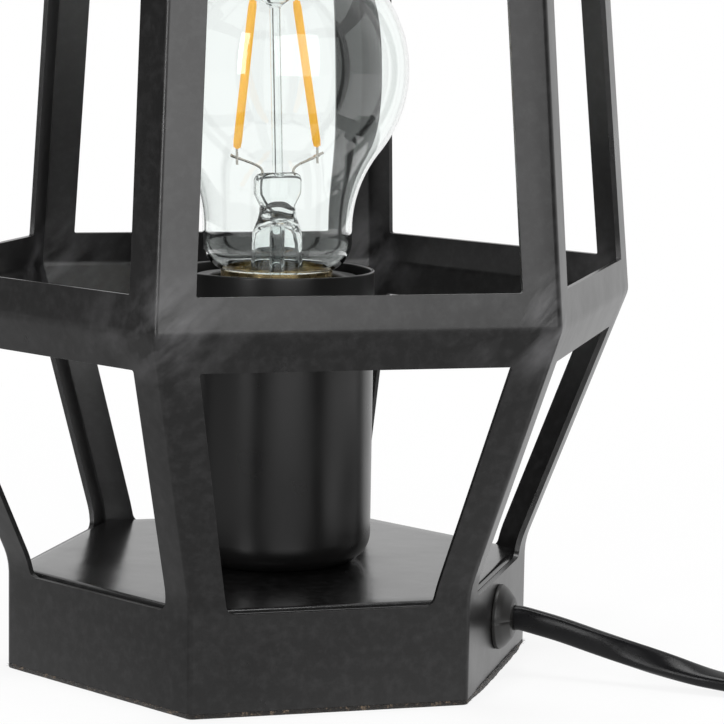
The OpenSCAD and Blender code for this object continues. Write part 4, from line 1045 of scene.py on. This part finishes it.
def pipe(points, radii, sides=14, step=0.4 * mm):
    """A round tube along a smooth route, whose radius follows the given radii."""
    path, knot = smooth_route(points, step)
    c, s = oval(1, 1, sides).T[..., None]
    along = unit(np.gradient(path, axis=0))
    side = unit(np.cross([0, 1, 0.001], along))
    up = np.cross(along, side)
    r = np.interp(knot, np.arange(len(radii)), radii)[:, None, None]
    return capped(path[:, None] + r * (c * side[:, None] + s * up[:, None]), path)


def joined(parts):
    """Several sets of points and faces as one."""
    points, faces, first = [], [], 0
    for part_points, part_faces in parts:
        points.append(part_points)
        faces += [f + first for f in part_faces]
        first += len(part_points)
    return np.vstack(points), faces


def mirrored(points, side):
    """Points of the filaments' plane, to one side of the rod, turned with the plane."""
    return (np.asarray(points, float) * [side, 1, 1]) @ plane.T


rod_lean = np.array([-1.16, 0.32]) * mm


def leaning(*pieces):
    """The rod and what it holds lean: points move by the lean times (height - press) / length."""
    for piece in pieces:
        at = np.empty((len(piece.data.vertices), 3), np.float32)
        piece.data.vertices.foreach_get("co", at.ravel())
        at[:, :2] += np.clip((at[:, 2:] - press_h) / (filament_high - press_h), 0, 1.1) * rod_lean
        piece.data.vertices.foreach_set("co", at.ravel())
        piece.data.update()


phosphor = Finish("amber_filament")
grains = phosphor.noise(4200, 2)
phosphor = phosphor.surface(
    Base_Color=phosphor.mixed(grains, (0.9, 0.42, 0.02), (1.0, 0.6, 0.09)),
    Roughness=0.5, Subsurface_Weight=0.25, Subsurface_Radius=(0.001, 0.0006, 0.0002), Subsurface_Scale=0.5,
    # the emission is a painted glow: the bulb is off, and it keeps the amber vivid inside the glass, where
    # little light reaches
    Emission_Color=(1.0, 0.5, 0.055, 1), Emission_Strength=0.42,
    Normal=phosphor.relief(phosphor.noise(1500, 2), 0.08 * mm, 0.4))
filament_r = 1 * mm
low_x, high_x = 10.7 * mm, 5.7 * mm
thickness = np.array([[0, 0.35], [0.02, 0.75], [0.05, 1], [0.5, 1], [0.95, 1], [0.98, 0.75], [1, 0.35]])
bars = []
for side in (-1, 1):
    start, end = mirrored([[low_x, 0, filament_low], [high_x, 0, filament_high]], side)
    bars.append(pipe(start + (end - start) * thickness[:, :1], thickness[:, 1] * filament_r))
filaments = made("filaments", *joined(bars), phosphor, "bulb", "amber_filament")
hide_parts("bulb_filaments")

wire_r = 0.3 * mm
press_x = 4.2 * mm
low_wire = [[press_x, 0, press_h - 1 * mm], [press_x, 0, press_h + 0.6 * mm],
            [5.4 * mm, 0, press_h + 1.7 * mm], [low_x - 2.2 * mm, 0, press_h + 2.9 * mm],
            [low_x + 1.6 * mm, 0, press_h + 4.1 * mm]]
tab = [[low_x, 0, filament_low - 3.4 * mm], [low_x, 0, filament_low - 1.7 * mm], [low_x, 0, filament_low]]
high_wire = [[high_x, 0, filament_high], [high_x, 0, filament_high + 1 * mm],
             [press_x, 0, filament_high + 1.4 * mm], [3 * mm, 0, filament_high + 0.6 * mm]]
wires = [pipe(mirrored(w, side), np.full(len(w), wire_r), sides=10, step=0.25 * mm)
         for side in (-1, 1) for w in (low_wire, tab, high_wire)]
wire_metal = metal_finish("cap_metal_wire", (0.62, 0.58, 0.52), 0.25)
bulb_wires = made("wires", *joined(wires), wire_metal, "bulb", "zinc_steel")
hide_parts("bulb_wires")
leaning(rod, filaments, bulb_wires)

cap_low, cap_t = cap_top - 22.3 * mm, 0.28 * mm
cap_line = np.vstack([[[cap_r - 1.3 * mm, cap_low + 0.02 * mm], [cap_r - 1 * mm, cap_low]],
                      tube_wall(cap_r, cap_t, np.linspace(cap_low + 1 * mm, cap_top, 84))])
cap_brass = metal_finish("cap_metal", (0.78, 0.6, 0.3), 0.22)
cap = turned("screw_cap", cap_line, cap_brass, "cap_metal", body="bulb", steps=120,
             thread=thread_wave(cap_low + 1.5 * mm, cap_top - 4.5 * mm, 0.9 * mm))
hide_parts("bulb_cap")
black_glass = moulded_finish("black_glass", (0.01, 0.01, 0.014), 0.12)
solder = metal_finish("solder", (0.6, 0.6, 0.62), 0.35)
softened("bulb_insulator", 0.2 * mm, black_glass, body="bulb", angle=turned_crease)
softened("bulb_contact", 0.2 * mm, solder, body="bulb", angle=turned_crease)


# ---------------------------------------------------------------------------
# Floor, world and lamps: white paper that takes the lamp's shadow and fades
# into plain white, a room that glossy surfaces see darker in front, and
# softboxes in front, to the left and overhead.
# ---------------------------------------------------------------------------
def ray_kinds(finish):
    """Three values that are 1 on rays to the eye, through glass, and off a gloss, and else 0."""
    eye, through, gloss = (finish.node("ShaderNodeLightPath", output=f"Is {name} Ray")
                           for name in ("Camera", "Transmission", "Glossy"))
    return eye, through, gloss * (1 - through)


def right_and_back(finish, place):
    """How far a place lies to the right and to the back."""
    return [finish.node("ShaderNodeSeparateXYZ", {"Vector": place}, output=axis) for axis in "XY"]


def light(finish, strength):
    """White light of a plain strength."""
    return finish.node("ShaderNodeEmission", {"Color": (1, 1, 1, 1), "Strength": strength})


def blended(finish, share, first, second):
    """A shader between two."""
    return finish.node("ShaderNodeMixShader", {0: share, 1: first, 2: second})


floor_reach = 4
sweep = Finish("floor_white")
on_sweep = sweep.place()
eye, through, gloss = ray_kinds(sweep)
to_right, to_back = right_and_back(sweep, on_sweep)
away = sweep.node("ShaderNodeVectorMath", {0: on_sweep}, output="Value", operation="LENGTH")
behind_lamp = sweep.spread(to_back + to_right * 0.7, -0.1, 0.0)
in_gloss = blended(sweep, behind_lamp, light(sweep, 0.42), light(sweep, 1.0))
paper = sweep.node("ShaderNodeBsdfDiffuse", {"Color": (0.88, 0.88, 0.88, 1)})
white_to_eye = eye * sweep.spread(away, 0.15, 0.45, 0.85, 1.0) + through
to_eye = blended(sweep, white_to_eye, paper, light(sweep, 1.0))
floor_mesh = bpy.data.meshes.new("floor")
floor_corners = [(x * floor_reach, y * floor_reach, 0) for x, y in ((-1, -1), (1, -1), (1, 1), (-1, 1))]
floor_mesh.from_pydata(floor_corners, [], [(0, 1, 2, 3)])
floor_mesh.materials.append(sweep.ends_in(blended(sweep, gloss, to_eye, in_gloss)))
in_scene("floor", floor_mesh)

world = bpy.data.worlds.new("studio")
bpy.context.scene.world = world
studio = Finish("studio", world)
direction = studio.node("ShaderNodeTexCoord", output="Generated")
to_right, to_back = right_and_back(studio, direction)
dark_front = studio.spread(to_back + to_right * 0.5, 0.1, 0.6, 0.12, 1.0)
eye, through, gloss = ray_kinds(studio)
diffuse_share = 0.6
strength = eye + through + gloss * dark_front + (1 - eye - through - gloss) * diffuse_share
white = studio.node("ShaderNodeBackground", {"Color": (1, 1, 1, 1), "Strength": strength})
studio.node("ShaderNodeOutputWorld", {"Surface": white})


def softbox(name, place, aim, width, height, radiance):
    """A flat lamp that faces a point. Its power is radiance x pi x its area."""
    lamp = bpy.data.lights.new(name, "AREA")
    lamp.shape = "RECTANGLE"
    lamp.size, lamp.size_y = width, height
    lamp.energy = radiance * math.pi * width * height
    box = in_scene(name, lamp)
    box.visible_camera = False
    box.visible_transmission = False
    back = unit(np.array(place) - np.array(aim))
    across = unit(np.cross([0, 0, 1], back)) if abs(back[2]) < 0.999 else np.array([1.0, 0, 0])
    rows = np.eye(4)
    rows[:3, 0], rows[:3, 1], rows[:3, 2], rows[:3, 3] = across, np.cross(back, across), back, place
    box.matrix_world = Matrix(rows.tolist())


softbox("front_softbox", (0.06, -1.5, 0.52), (0, 0, 0.12), 1.1, 1.0, 3.6)
softbox("left_softbox", (-1.15, -1.1, 0.55), (0, 0, 0.12), 0.22, 1.0, 11.0)
softbox("top_softbox", (-0.05, 0.05, 1.5), (0, 0, 0.1), 0.65, 0.65, 7.5)

bpy.context.scene.view_settings.view_transform = "Standard"
